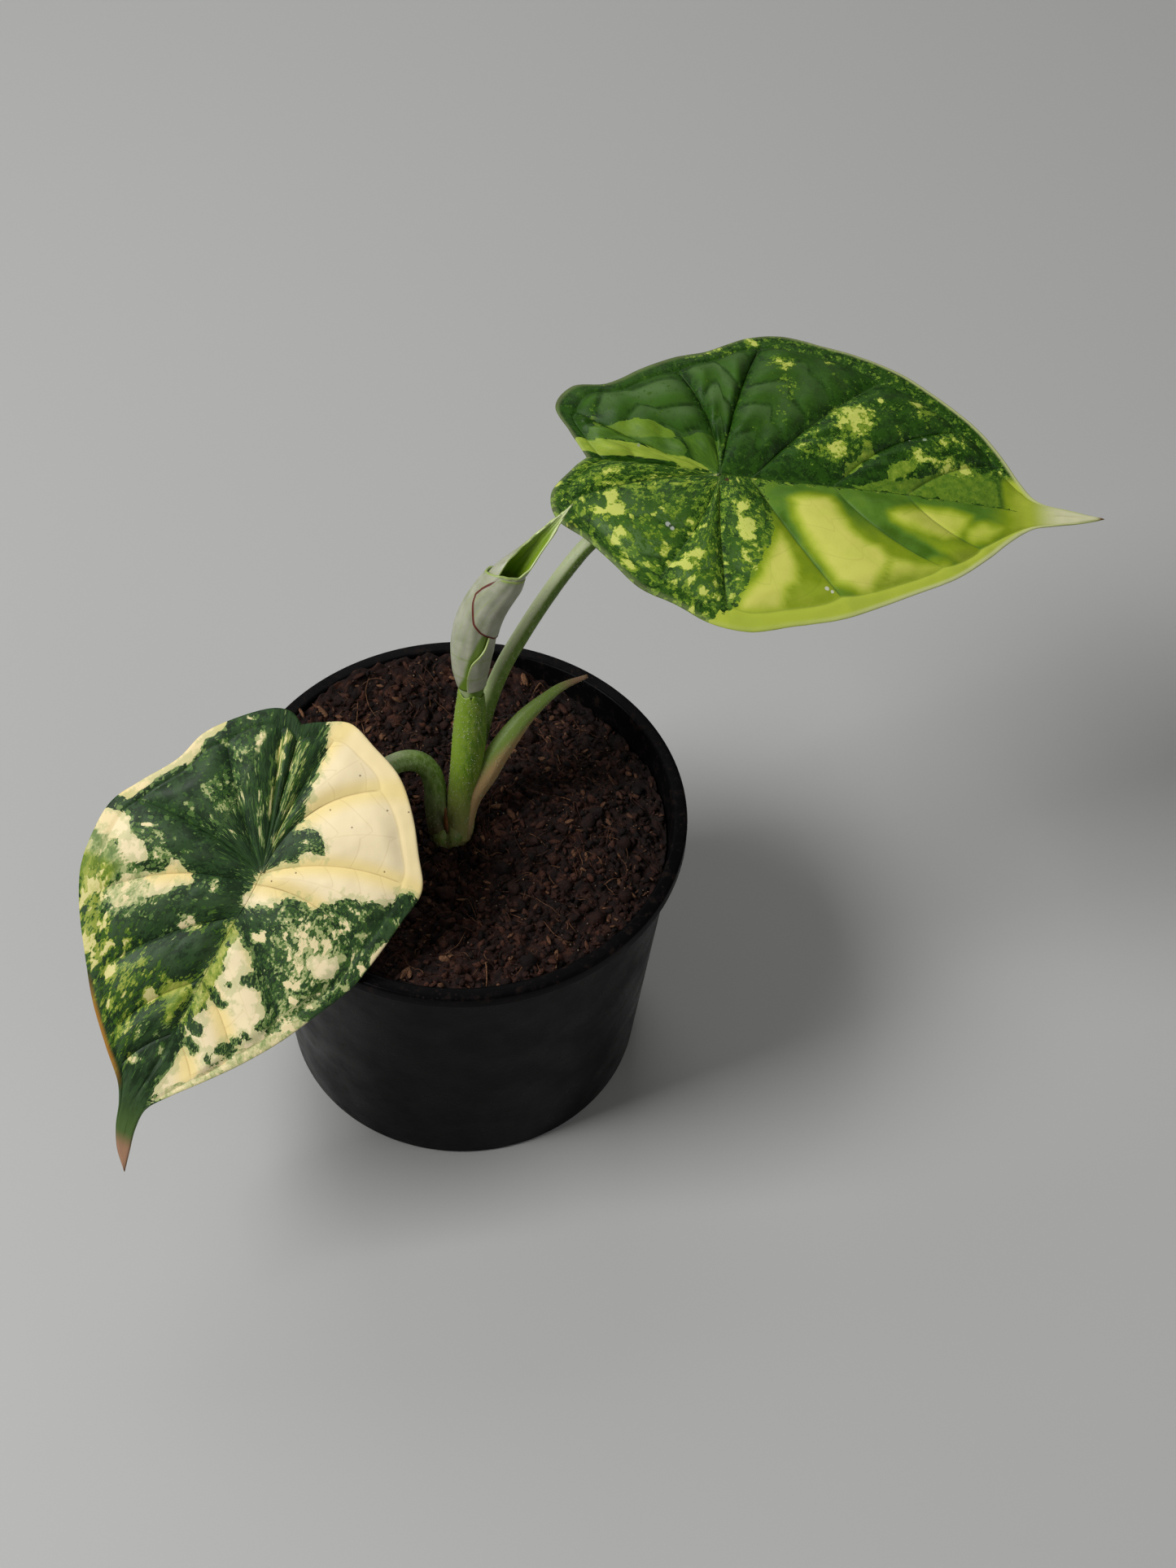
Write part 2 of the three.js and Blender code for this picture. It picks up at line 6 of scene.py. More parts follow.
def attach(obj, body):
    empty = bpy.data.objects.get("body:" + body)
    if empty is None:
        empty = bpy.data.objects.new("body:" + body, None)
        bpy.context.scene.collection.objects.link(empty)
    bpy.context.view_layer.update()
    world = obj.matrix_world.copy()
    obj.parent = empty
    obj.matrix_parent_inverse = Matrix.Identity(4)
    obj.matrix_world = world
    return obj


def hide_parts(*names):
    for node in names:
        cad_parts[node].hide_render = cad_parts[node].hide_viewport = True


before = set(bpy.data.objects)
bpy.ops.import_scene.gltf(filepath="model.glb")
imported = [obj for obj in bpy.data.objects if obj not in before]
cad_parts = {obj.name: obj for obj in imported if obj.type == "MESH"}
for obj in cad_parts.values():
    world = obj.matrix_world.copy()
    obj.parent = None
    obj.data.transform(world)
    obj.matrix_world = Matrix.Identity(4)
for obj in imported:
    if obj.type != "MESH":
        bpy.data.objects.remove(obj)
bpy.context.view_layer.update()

# The pot: a round nursery pot of thin black polypropylene, moulded in one piece with a turned-down lip.
# It stands on a foot ring and a centre pad, and eight drain holes go through the raised floor between them.
MM = 0.001
RIM_RADIUS = 60.0
POT_HEIGHT = 93.0
FOOT_RADIUS = 49.5
BODY_TOP_RADIUS = 57.4
WALL = 1.2
LIP_DROP = 4.0
FLOOR_LIFT = 2.0
FLOOR_TOP = 3.6
FOOT_RING_INSIDE = 46.0
CENTRE_PAD_RADIUS = 26.0
DRAIN_HOLES = 8
DRAIN_RADIUS = 3.2
DRAIN_SIDES = 28
DRAIN_FROM, DRAIN_TO = -2, 6
DRAIN_RING_RADIUS = 37.0
POT_SIDES = 160
POT_BLACK = (0.0025, 0.0025, 0.003, 1)
POT_DUST = (0.035, 0.022, 0.016, 1)


def join_grids(grids, **values):
    """One surface from grids of points. Each square of a grid becomes two triangles, points closer than a
    thousandth of a millimetre become one, and triangles that collapse are dropped. Gives the points, the
    triangles, and at those points each named value, which comes as one grid of numbers a grid of points."""
    laid = lambda parts: np.concatenate([part.reshape(-1, *part.shape[2:]) for part in parts])
    points = laid(grids)
    corners = []
    first = 0
    for grid in grids:
        rows, columns = grid.shape[:2]
        number = np.arange(rows * columns).reshape(rows, columns) + first
        p, q, r, s = number[:-1, :-1], number[1:, :-1], number[1:, 1:], number[:-1, 1:]
        corners.append(np.stack([p, q, r, p, r, s], -1).reshape(-1, 3))
        first += rows * columns
    _, kept, merged = np.unique(np.round(points, 3), axis=0, return_index=True, return_inverse=True)
    faces = merged.reshape(-1)[np.concatenate(corners)]
    whole = (faces != np.roll(faces, 1, 1)).all(1)
    return points[kept], faces[whole], {title: laid(parts)[kept] for title, parts in values.items()}


def add_mesh(name, points, faces, values=None):
    """A smooth mesh object from points in millimetres, with its place in its mesh. Each named value is
    stored on the points: one number a point, or three."""
    mesh = bpy.data.meshes.new(name)
    mesh.vertices.add(len(points))
    mesh.vertices.foreach_set("co", (np.asarray(points, float) * MM).ravel())
    sides = faces.shape[1]
    mesh.loops.add(faces.size)
    mesh.loops.foreach_set("vertex_index", faces.ravel().astype(np.int32))
    mesh.polygons.add(len(faces))
    mesh.polygons.foreach_set("loop_start", np.arange(0, faces.size, sides, dtype=np.int32))
    mesh.update(calc_edges=True)
    mesh.validate()
    mesh.shade_smooth()
    for title, numbers in (values or {}).items():
        flat = np.ndim(numbers) == 1
        layer = mesh.attributes.new(title, "FLOAT" if flat else "FLOAT_VECTOR", "POINT")
        layer.data.foreach_set("value" if flat else "vector", np.asarray(numbers, float).ravel())
    piece = bpy.data.objects.new(name, mesh)
    bpy.context.scene.collection.objects.link(piece)
    return piece


def turned(profile, sides):
    """A body turned round Z: each (radius, height) of the profile goes once round in equal steps."""
    turn = np.linspace(0, 2 * np.pi, sides + 1)[:, None]
    radius, height = np.array(profile, float).T
    return np.stack([radius * np.cos(turn), radius * np.sin(turn), height + 0 * turn], -1)


def rounded(profile, corners, steps=5):
    """The profile with some corners rounded: round each named corner, a quadratic curve runs between two
    points its given distance from the corner."""
    line = []
    for k, point in enumerate(np.array(profile, float)):
        if k not in corners:
            line.append(point)
            continue
        before, after = np.array(profile[k - 1], float) - point, np.array(profile[k + 1], float) - point
        start = point + before / np.linalg.norm(before) * corners[k]
        end = point + after / np.linalg.norm(after) * corners[k]
        for t in np.linspace(0, 1, steps + 1):
            line.append((1 - t) ** 2 * start + 2 * t * (1 - t) * point + t * t * end)
    return line


class Signal:
    """An output of a shader node. Adding, taking away and multiplying make Math nodes in its tree, and so
    does the bar, which takes the larger of two."""

    def __init__(self, socket):
        self.socket, self.tree = socket, socket.id_data

    def maths(self, operation, *others):
        """Adds a Math node that works on this value and the others."""
        return made(self.tree, "ShaderNodeMath", 0, dict(enumerate((self, *others))), operation=operation)

    def __add__(self, other):
        return self.maths("ADD", other)

    def __sub__(self, other):
        return self.maths("SUBTRACT", other)

    def __rsub__(self, other):
        return made(self.tree, "ShaderNodeMath", 0, {0: other, 1: self}, operation="SUBTRACT")

    def __mul__(self, other):
        return self.maths("MULTIPLY", other)

    def __or__(self, other):
        return self.maths("MAXIMUM", other)

    def __abs__(self):
        return self.maths("ABSOLUTE")


def feed(socket, value):
    """Gives a socket a plain value, or wires a signal into it."""
    if isinstance(value, Signal):
        socket.id_data.links.new(value.socket, socket)
    else:
        socket.default_value = value


def put(tree, kind, inputs=None, **settings):
    """Adds a node with its settings and its inputs."""
    node = tree.nodes.new(kind)
    for title, setting in settings.items():
        setattr(node, title, setting)
    for title, value in (inputs or {}).items():
        feed(node.inputs[title], value)
    return node


def made(tree, kind, output, inputs=None, **settings):
    """Adds a node and gives one of its outputs."""
    return Signal(put(tree, kind, inputs, **settings).outputs[output])


def mix(share, first, second):
    """The colour between two colours by a share."""
    return made(share.tree, "ShaderNodeMix", 2, {0: share, 6: first, 7: second}, data_type="RGBA", clamp_factor=True)


def shades(value, stops):
    """The colour of a Color Ramp with the given stops, each (place, colour)."""
    node = put(value.tree, "ShaderNodeValToRGB", {"Fac": value})
    for k, (place, colour) in enumerate(stops):
        stop = node.color_ramp.elements[k] if k < 2 else node.color_ramp.elements.new(place)
        stop.position = place
        stop.color = (*colour, 1)
    return Signal(node.outputs["Color"])


def ramp(value, low, high, out_low=0.0, out_high=1.0, kind="SMOOTHSTEP"):
    """A value carried from one range to another and held at its ends."""
    ends = {"Value": value, "From Min": low, "From Max": high, "To Min": out_low, "To Max": out_high}
    return made(value.tree, "ShaderNodeMapRange", "Result", ends, interpolation_type=kind)


def noise(place, scale, detail=3.0, rough=0.55):
    """The value of a Noise Texture at a place."""
    return made(place.tree, "ShaderNodeTexNoise", "Fac",
                {"Vector": place, "Scale": scale, "Detail": detail, "Roughness": rough})


def bump(height, strength, distance):
    """The normal of a surface raised by a height."""
    return made(height.tree, "ShaderNodeBump", "Normal",
                {"Height": height, "Strength": strength, "Distance": distance})


def coordinate(place, axis):
    """How far a place lies along one axis."""
    return made(place.tree, "ShaderNodeSeparateXYZ", axis, {"Vector": place})


def stored(tree, title, output="Fac"):
    """A value stored on the mesh's points."""
    return made(tree, "ShaderNodeAttribute", output, attribute_name=title)


def new_finish(name):
    """A new material with its tree, its Principled shader and the object's coordinates."""
    material = bpy.data.materials.new(name)
    material.use_nodes = True
    tree = material.node_tree
    return material, tree, tree.nodes["Principled BSDF"], made(tree, "ShaderNodeTexCoord", "Object")


def wire(node, **inputs):
    """Feeds a node's inputs, with underscores for the spaces in their names."""
    for title, value in inputs.items():
        feed(node.inputs[title.replace("_", " ")], value)


def settle(piece, material, node):
    """Gives a piece its material, its body, the CAD node that it stands for, if any."""
    piece.data.materials.append(material)
    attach(piece, "root")
    if node:
        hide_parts(node)
    return piece


def pot_profile():
    """The pot's wall from the middle of its underside, out, up the outside, over the lip and down inside."""
    lip_bottom = POT_HEIGHT - LIP_DROP
    line = [
        (0, 0), (CENTRE_PAD_RADIUS, 0), (CENTRE_PAD_RADIUS + 1.5, FLOOR_LIFT),
        (FOOT_RING_INSIDE - 1.5, FLOOR_LIFT), (FOOT_RING_INSIDE, 0), (FOOT_RADIUS, 0),
        (BODY_TOP_RADIUS, lip_bottom + 1.5), (RIM_RADIUS - WALL, lip_bottom + 1.5),
        (RIM_RADIUS - WALL, lip_bottom), (RIM_RADIUS, lip_bottom), (RIM_RADIUS, POT_HEIGHT),
        (BODY_TOP_RADIUS - WALL, POT_HEIGHT), (FOOT_RADIUS - WALL, FLOOR_TOP), (0, FLOOR_TOP),
    ]
    return rounded(line, {1: 0.4, 2: 0.5, 3: 0.5, 4: 0.4, 5: 1.2, 6: 0.4, 8: 0.3, 9: 0.5, 10: 0.9, 11: 0.8, 12: 2.0})


pot = add_mesh("nursery_pot", *join_grids([turned(pot_profile(), POT_SIDES)]))
drain_rod = turned([(0, DRAIN_FROM), (DRAIN_RADIUS, DRAIN_FROM), (DRAIN_RADIUS, DRAIN_TO), (0, DRAIN_TO)],
                   DRAIN_SIDES)
drain_turns = 2 * np.pi * (np.arange(DRAIN_HOLES) + 0.5) / DRAIN_HOLES
drain_centres = DRAIN_RING_RADIUS * np.stack([np.cos(drain_turns), np.sin(drain_turns), 0 * drain_turns], -1)
drains = add_mesh("drain_cutter", *join_grids([drain_rod + centre for centre in drain_centres]))
cut = pot.modifiers.new("drain_holes", "BOOLEAN")
cut.operation = "DIFFERENCE"
cut.object = drains
cut.solver = "EXACT"
bpy.context.view_layer.objects.active = pot
bpy.ops.object.modifier_apply(modifier=cut.name)
bpy.data.objects.remove(drains)

pot_plastic, tree, shader, place = new_finish("satin_black_plastic")
cloud = noise(place, 90, 4)
smear = ramp(noise(place, 300, 5, 0.7), 0.5, 0.72) * ramp(coordinate(place, "Z"), 0.070, 0.092)
speck = made(tree, "ShaderNodeTexVoronoi", "Distance", {"Vector": place, "Scale": 620.0})
dust = smear * 0.35 | ramp(speck, 0.2, 0.12) * ramp(cloud, 0.5, 0.65) * 0.5
wire(shader, Base_Color=mix(dust, POT_BLACK, POT_DUST), Roughness=ramp(cloud, 0.3, 0.7, 0.26, 0.4) + dust * 0.5,
     Normal=bump(noise(place, 900, 2), 0.12, 0.0002), Specular_IOR_Level=0.03)
settle(pot, pot_plastic, "pot")

# The potting mix: damp coir and fine bark, dark reddish brown, tipped into the pot and pressed down. It
# stands highest behind the crown and has sunk away from the wall on the right.
SOIL_LEVEL = 88.0
MIX_BOTTOM = 3.9
MIX_BOTTOM_RADIUS = 47.5
MIX_SHOULDER = (54.6, 80)
MIX_BRIM_RADIUS = 55.2
NET = 64
MIX_TURNS = 420
MIX_RINGS = 150
CROWN_X = -2.6
CROWN_Y = -3.0
MIX_DARK = (0.005, 0.0018, 0.0012, 1)
MIX_BROWN = (0.029, 0.01, 0.006, 1)
MIX_RED = (0.088, 0.031, 0.017, 1)
CHIP_TAN = (0.24, 0.115, 0.055, 1)
SPECK_PALE = (0.33, 0.27, 0.2, 1)


def smooth(low, high, x):
    """0 below low, 1 above high, and a smooth cubic step between."""
    t = np.clip((x - low) / (high - low), 0, 1)
    return t * t * (3 - 2 * t)


def soil_height(x, y):
    """The mix's surface: a level with a mound at the back left, a slight rise at the front, a sunk edge at
    the right, and two sizes of crossed waves for its lumps."""
    mound = 2.8 * np.exp(-((x + 30) ** 2 + (y - 32) ** 2) / 1400) + 3.2 * smooth(32, 56, 0.93 * y - 0.36 * x)
    hollow = 1.8 * np.exp(-((x - CROWN_X) ** 2 + (y - CROWN_Y) ** 2) / 110)
    front = 0.8 * smooth(20, 50, -y)
    sunk = 4.2 * smooth(16, 52, 0.9 * x + 0.42 * y)
    lumps = 0.7 * np.sin(0.31 * x + 1.3 * np.sin(0.23 * y)) * np.cos(0.27 * y + 0.9 * np.sin(0.19 * x))
    crumbs = 0.45 * np.sin(0.83 * x + 0.4 * y) * np.sin(0.71 * y - 0.3 * x)
    return SOIL_LEVEL + mound + front - hollow - sunk + lumps + crumbs


def cells(x, y, size, seed):
    """Cells of a given size, one random heart in each square of a net. Gives the distance to the nearest
    heart as a share of the size, and that heart's own random number."""
    chance = np.random.default_rng(seed).random((NET, NET, 3))
    u, w = x / size, y / size
    i, j = np.floor(u).astype(int), np.floor(w).astype(int)
    nearest = np.full(np.shape(x), 9.0)
    tone = np.zeros(np.shape(x))
    for di in (-1, 0, 1):
        for dj in (-1, 0, 1):
            heart = chance[(i + di) % NET, (j + dj) % NET]
            far = np.hypot(i + di + heart[..., 0] - u, j + dj + heart[..., 1] - w)
            closer = far < nearest
            nearest = np.where(closer, far, nearest)
            tone = np.where(closer, heart[..., 2], tone)
    return nearest, tone


def crumb_relief(x, y):
    """Domes over cells of three sizes, with clefts between them, and the tone of the middle-sized cells."""
    large, _ = cells(x + 0.9 * np.sin(0.8 * y), y + 0.9 * np.sin(0.9 * x), 4.9, 3)
    middle, tone = cells(x + 0.5 * np.sin(1.9 * y), y + 0.5 * np.sin(2.3 * x), 1.9, 4)
    small, _ = cells(x + 0.3 * np.sin(4 * y), y + 0.3 * np.sin(5 * x), 0.9, 5)
    dome = lambda far: np.clip(1 - far ** 1.5, 0, 1)
    return 2.1 * dome(large) + 1.5 * dome(middle) + 0.8 * dome(small) - 3.0, tone


def mix_surface():
    """The mix as a turned body whose top ring by ring follows the soil's height and its crumbs. Also gives each
    crumb's tone, and how deep each point lies in a cleft between crumbs, for painted shade there.
    """
    turn = np.linspace(0, 2 * np.pi, MIX_TURNS + 1)[:, None]
    turn[-1] = turn[0]
    brim = MIX_BRIM_RADIUS + 0.7 * smooth(0.3, 0.9, 0.93 * np.sin(turn) - 0.36 * np.cos(turn))
    radius = brim * (1 - np.linspace(0, 1, MIX_RINGS + 1)) ** 0.85
    x, y = radius * np.cos(turn), radius * np.sin(turn)
    relief, tone = crumb_relief(x, y)
    height = soil_height(x, y) + relief
    height[:, 0] -= 0.4 + 3 * smooth(20, 50, 0.9 * x + 0.42 * y)[:, 0]
    top = np.stack([x, y, height], -1)
    bottom = turned([(0, MIX_BOTTOM), (MIX_BOTTOM_RADIUS, MIX_BOTTOM), MIX_SHOULDER], MIX_TURNS)
    whole = np.concatenate([bottom, top], 1)
    below = np.full(bottom.shape[:2], 0.3)
    return whole, np.concatenate([below, tone], 1), np.concatenate([below, smooth(-0.9, -2.3, relief)], 1)


def soil_finish(name, dark, brown, red, spread):
    """A damp crumbly finish: three browns shared out by each crumb's tone and by two sizes of noise, tan flecks
    that are partly pale bits and partly painted glints, darker in broad damp patches, and painted shade in the
    clefts and low down."""
    material, tree, shader, place = new_finish(name)
    coarse, fine = noise(place, 420, 4, 0.65), noise(place, 2200, 3, 0.7)
    pick = stored(tree, "tone") * spread + coarse * (1 - spread)
    browns = mix(ramp(pick, 0.55, 0.8), mix(ramp(pick, 0.2, 0.6), dark, brown), red)
    grained = mix(ramp(fine, 0.35, 0.7, 0.0, 0.75), browns, dark)
    # Tan flecks: partly pale bits in the mix and partly painted glints on lit crumbs
    tan_flecks_and_glints = mix(ramp(fine, 0.66, 0.74, 0.0, 0.35), grained, CHIP_TAN)
    # Painted shade: darker low down, where the mix sinks by the wall, and in the clefts between crumbs; the broad
    # noise patches are damp
    low = ramp(coordinate(place, "Z"), 0.0885, 0.084, 0.0, 0.7)
    damp_and_shade = low | (ramp(noise(place, 60, 3, 0.6), 0.47, 0.66, 0.0, 0.7) | stored(tree, "cleft"))
    wire(shader, Base_Color=mix(damp_and_shade, tan_flecks_and_glints, dark), Roughness=ramp(coarse, 0.3, 0.7, 0.62, 0.95),
         Normal=bump(fine + coarse, 0.9, 0.0006), Specular_IOR_Level=0.25)
    return material


mix_grid, mix_tone, mix_cleft = mix_surface()
settle(add_mesh("potting_mix_bed", *join_grids([mix_grid], tone=[mix_tone], cleft=[mix_cleft])),
       soil_finish("damp_coir_mix", MIX_DARK, MIX_BROWN, MIX_RED, 0.5), "potting_mix")

# Loose crumbs, bark chips, coir fibres and pale grit lie on the mix, most of them pressed a little in.
# Each kind is one piece of many small bodies.
CRUMBS = 2600
CLODS = 90
CHIPS = 700
GRITS = 560
FIBRES = 640
FIBRE_STEPS = 13
FIBRE_SIDES = 4
LOOSE_SEED = 12
MIX_REACH = 54.0
FIBRE_REACH = 53.5
CROWN_CLEAR = 7.5
LARGE_CHIP_TONE = 0.97
LONG_FIBRE_TONE = 0.9
FIBRE_LIFT = 0.25
LARGE_CHIPS = [(14.8, -28.4, 1.2), (-5.5, -37.3, 1), (-0.5, -45.1, 1), (-11.1, -50.2, 1.4), (31.7, 28.6, 1.1),
               (45.8, 14.5, 1.3), (21.9, 23.7, 1.1), (14.3, 50.4, 1.2), (24.4, 37.2, 0.8), (51.2, 27.1, 1),
               (-45.6, 31.1, 1), (-30, 20, 0.8), (8, -20, 0.8), (33, -14, 0.8)]
LONG_FIBRES = [(4.7, -22.4, 0.12, -1.05, 29, 0.15), (35.4, -1.9, 0.5, -2.2, 13, 0.13),
               (17.7, -2.1, -0.75, -0.1, 7, 0.2), (8.8, -44.1, -1.3, -0.3, 8, 0.22), (16.5, -13, 0.3, 0.5, 8, 0.12),
               (27.4, 36.2, -0.25, 0, 9, 0.14), (16.1, 46.1, 1.1, -0.2, 11, 0.3), (-24, 30, 2.4, -1.2, 16, 0.12),
               (30, -20, 0.9, 1.4, 15, 0.1)]
OCTAHEDRON = (np.array([[1, 0, 0], [-1, 0, 0], [0, 1, 0], [0, -1, 0], [0, 0, 1], [0, 0, -1]], float),
              np.array([[0, 2, 4], [2, 1, 4], [1, 3, 4], [3, 0, 4], [2, 0, 5], [1, 2, 5], [3, 1, 5], [0, 3, 5]]))


def split_faces(points, faces):
    """Each triangle cut into four at the middles of its sides, with every point put back on the unit ball."""
    middle = (points[faces] + points[np.roll(faces, -1, 1)]) / 2
    corners = points[faces]
    parts = [np.stack([corners[:, k], middle[:, k], middle[:, k - 1]], 1) for k in range(3)] + [middle]
    every = np.concatenate(parts).reshape(-1, 3)
    merged, inverse = np.unique(np.round(every, 6), axis=0, return_inverse=True)
    return merged / np.linalg.norm(merged, axis=1, keepdims=True), inverse.reshape(-1, 3)


def turning(angle, i, j):
    """Matrices of a turn by each angle from axis i towards axis j."""
    turns = np.repeat(np.eye(3)[None], len(angle), 0)
    turns[:, i, i] = turns[:, j, j] = np.cos(angle)
    turns[:, i, j], turns[:, j, i] = -np.sin(angle), np.sin(angle)
    return turns


def on_mix_at(x, y):
    """The places of the mix's surface at given x and y."""
    return np.stack([x, y, soil_height(x, y) + crumb_relief(x, y)[0]], -1)


def on_the_mix(count, draw, far=MIX_REACH):
    """Random places on the mix's surface, clear of the crown."""
    radius, angle = far * np.sqrt(draw.random(count)), draw.uniform(0, 2 * np.pi, count)
    x, y = radius * np.cos(angle), radius * np.sin(angle)
    away = np.hypot(x - CROWN_X, y - CROWN_Y)
    push = np.where(away < CROWN_CLEAR, CROWN_CLEAR / np.maximum(away, 0.1), 1)
    return on_mix_at(CROWN_X + (x - CROWN_X) * push, CROWN_Y + (y - CROWN_Y) * push)


def scattered(body, places, sizes, tilt, rough, draw):
    """Copies of a small body: each is turned any way about Z and tilted by up to the tilt, its points are
    pushed in and out at random, and it is sized along each axis and set at its place. Gives the points, the
    faces and a random tone for each copy."""
    shape, faces = body
    count = len(places)
    ends = (0, 2 * np.pi), (-tilt, tilt), (0, 2 * np.pi)
    spin, lean, way = (draw.uniform(low, high, count) for low, high in ends)
    turns = turning(way, 0, 1) @ turning(lean, 1, 2) @ turning(spin, 0, 1)
    uneven = 1 + draw.uniform(-rough, rough, (count, len(shape), 1))
    bodies = np.einsum("nij,nkj->nki", turns, shape[None] * uneven * sizes[:, None, :]) + places[:, None, :]
    numbers = faces[None] + (np.arange(count) * len(shape))[:, None, None]
    return bodies.reshape(-1, 3), numbers.reshape(-1, 3), {"tone": np.repeat(draw.random(count), len(shape))}


def lay(name, body, finish, *browns):
    """Puts one kind of loose bit on the mix in its own finish."""
    settle(add_mesh(name, *body), soil_finish(finish, *browns), None)


draw = np.random.default_rng(LOOSE_SEED)
ball = split_faces(*OCTAHEDRON)
crumb_size = 0.35 + 0.95 * draw.random((CRUMBS, 1)) ** 2.2
crumb_sizes = crumb_size * draw.uniform(0.5, 1.3, (CRUMBS, 3))
crumbs = scattered(ball, on_the_mix(CRUMBS, draw) + crumb_size * [0, 0, 0.25], crumb_sizes, 1.5, 0.4, draw)
lay("mix_crumbs", crumbs, "loose_crumbs", MIX_DARK, MIX_BROWN, MIX_RED, 0.8)

clod_size = 1.1 + 1.5 * draw.random((CLODS, 1)) ** 1.5
clod_ball, clod_faces = split_faces(*ball)
clod_waves = np.sin(7 * clod_ball @ np.array([[1, 0, 2], [2, 1, 0], [0, 2, 1.0]])).sum(1, keepdims=True)
clod = clod_ball * (1 + 0.12 * clod_waves / 2), clod_faces
clod_places = on_the_mix(CLODS, draw, 51) - [0, 0, 0.2]
clod_sizes = clod_size * draw.uniform(0.6, 1.25, (CLODS, 3)) * [1, 1, 0.8]
clods = scattered(clod, clod_places, clod_sizes, 1.5, 0.2, draw)
lay("mix_clods", clods, "mix_clods", MIX_DARK, MIX_BROWN, MIX_RED, 0.55)

chip_size = 0.4 + 1.0 * draw.random((CHIPS, 1)) ** 2
chip_places = on_the_mix(CHIPS, draw)
large_x, large_y, large_size = np.array(LARGE_CHIPS).T
chip_places[:len(LARGE_CHIPS)] = on_mix_at(large_x, large_y)
chip_size[:len(LARGE_CHIPS), 0] = large_size
chip_sizes = chip_size * draw.uniform(0.8, 1.2, (CHIPS, 3)) * [1.5, 0.65, 0.3]
chips = scattered(ball, chip_places + [0, 0, 0.35], chip_sizes, 0.7, 0.22, draw)
chips[2]["tone"][:len(LARGE_CHIPS) * len(ball[0])] = LARGE_CHIP_TONE
lay("bark_chips", chips, "bark_chips", MIX_BROWN, MIX_RED, CHIP_TAN, 0.85)

grit_size = 0.12 + 0.22 * draw.random((GRITS, 1)) ** 2
grits = scattered(OCTAHEDRON, on_the_mix(GRITS, draw) + [0, 0, 0.2], grit_size * [1, 1, 1], 1.5, 0.25, draw)
lay("pale_grit", grits, "pale_grit", CHIP_TAN, SPECK_PALE, SPECK_PALE, 0.9)


def fibre_tubes(x, y, heading, bend, length, thick, rise):
    """Thin fibres: each runs from its start in its heading, turning steadily by its bend, and follows the
    mix a little above it with one low arch. Round each of its points stand four more, its radius away."""
    share = np.linspace(0, 1, FIBRE_STEPS)
    angle = heading[:, None] + bend[:, None] * share
    step = length[:, None] / (FIBRE_STEPS - 1)
    x = x[:, None] + np.cumsum(np.cos(angle) * step, 1)
    y = y[:, None] + np.cumsum(np.sin(angle) * step, 1)
    near = FIBRE_REACH / np.maximum(np.hypot(x, y), FIBRE_REACH)
    x, y = x * near, y * near
    z = soil_height(x, y) + 0.5 * crumb_relief(x, y)[0] + FIBRE_LIFT + rise[:, None] * np.sin(np.pi * share)
    radius = (thick[:, None] * (0.35 + 0.65 * np.sin(np.pi * (0.08 + 0.84 * share))))[..., None]
    turn = 2 * np.pi * np.arange(FIBRE_SIDES) / FIBRE_SIDES
    side = np.stack([-np.sin(angle), np.cos(angle), 0 * angle], -1)
    ring = side[:, :, None] * np.cos(turn)[:, None] + np.array([0, 0, 1.0]) * np.sin(turn)[:, None]
    points = np.stack([x, y, z], -1)[:, :, None] + radius[..., None] * ring
    number = np.arange(points.size // 3).reshape(points.shape[:3])
    after = np.roll(number, -1, 2)
    walls = np.stack([number[:, :-1], after[:, :-1], after[:, 1:], number[:, 1:]], -1).reshape(-1, 4)
    ends = np.concatenate([number[:, 0, ::-1], number[:, -1]])
    return points.reshape(-1, 3), np.concatenate([walls, ends])


fibre_starts = on_the_mix(FIBRES, draw, 50)[:, :2]
fibre_table = np.stack([*fibre_starts.T, draw.uniform(0, 2 * np.pi, FIBRES), draw.normal(0, 0.9, FIBRES),
                        2.5 + 10 * draw.random(FIBRES) ** 2.5, draw.uniform(0.06, 0.14, FIBRES)], -1)
fibre_table = np.concatenate([LONG_FIBRES, fibre_table])
fibres = fibre_tubes(*fibre_table.T, draw.uniform(0, 0.9, len(fibre_table)))
fibre_tone = np.concatenate([np.full(len(LONG_FIBRES), LONG_FIBRE_TONE), draw.random(FIBRES)])
fibre_tones = {"tone": np.repeat(fibre_tone, FIBRE_STEPS * FIBRE_SIDES)}
lay("coir_fibres", (*fibres, fibre_tones), "coir_fibres", MIX_BROWN, MIX_RED, CHIP_TAN, 0.9)

# The crown: the short swollen stem base that all the stalks grow from, green above and reddish where it
# meets the mix. The old leaf bases wrap round it and leave a notch at the front.
CROWN_RADIUS = 5.6
CROWN_BOTTOM = 68.0
CROWN_TOP = 93.0
CROWN_TURNS, CROWN_LEVELS = 96, 40
CROWN_NOTCH = 4.6
CROWN_GREEN = (0.25, 0.24, 0.07, 1)
STALK_GREEN = (0.17, 0.27, 0.04, 1)
STALK_SHADE = (0.11, 0.2, 0.015, 1)
# The stalks' grey on the side facing the key light, and the way to that light: partly a pale waxy coat, partly
# painted light
STALK_COAT_AND_LIT_GREY = (0.42, 0.46, 0.27, 1)
KEY_LIGHT_SIDE = (-0.6, -0.2, 0.77)
BASE_RED = (0.085, 0.042, 0.022, 1)
GRANULE_PALE = (0.5, 0.53, 0.36, 1)
SKIN_GRAIN = 0.0002
SKIN_DEPTH = 0.002


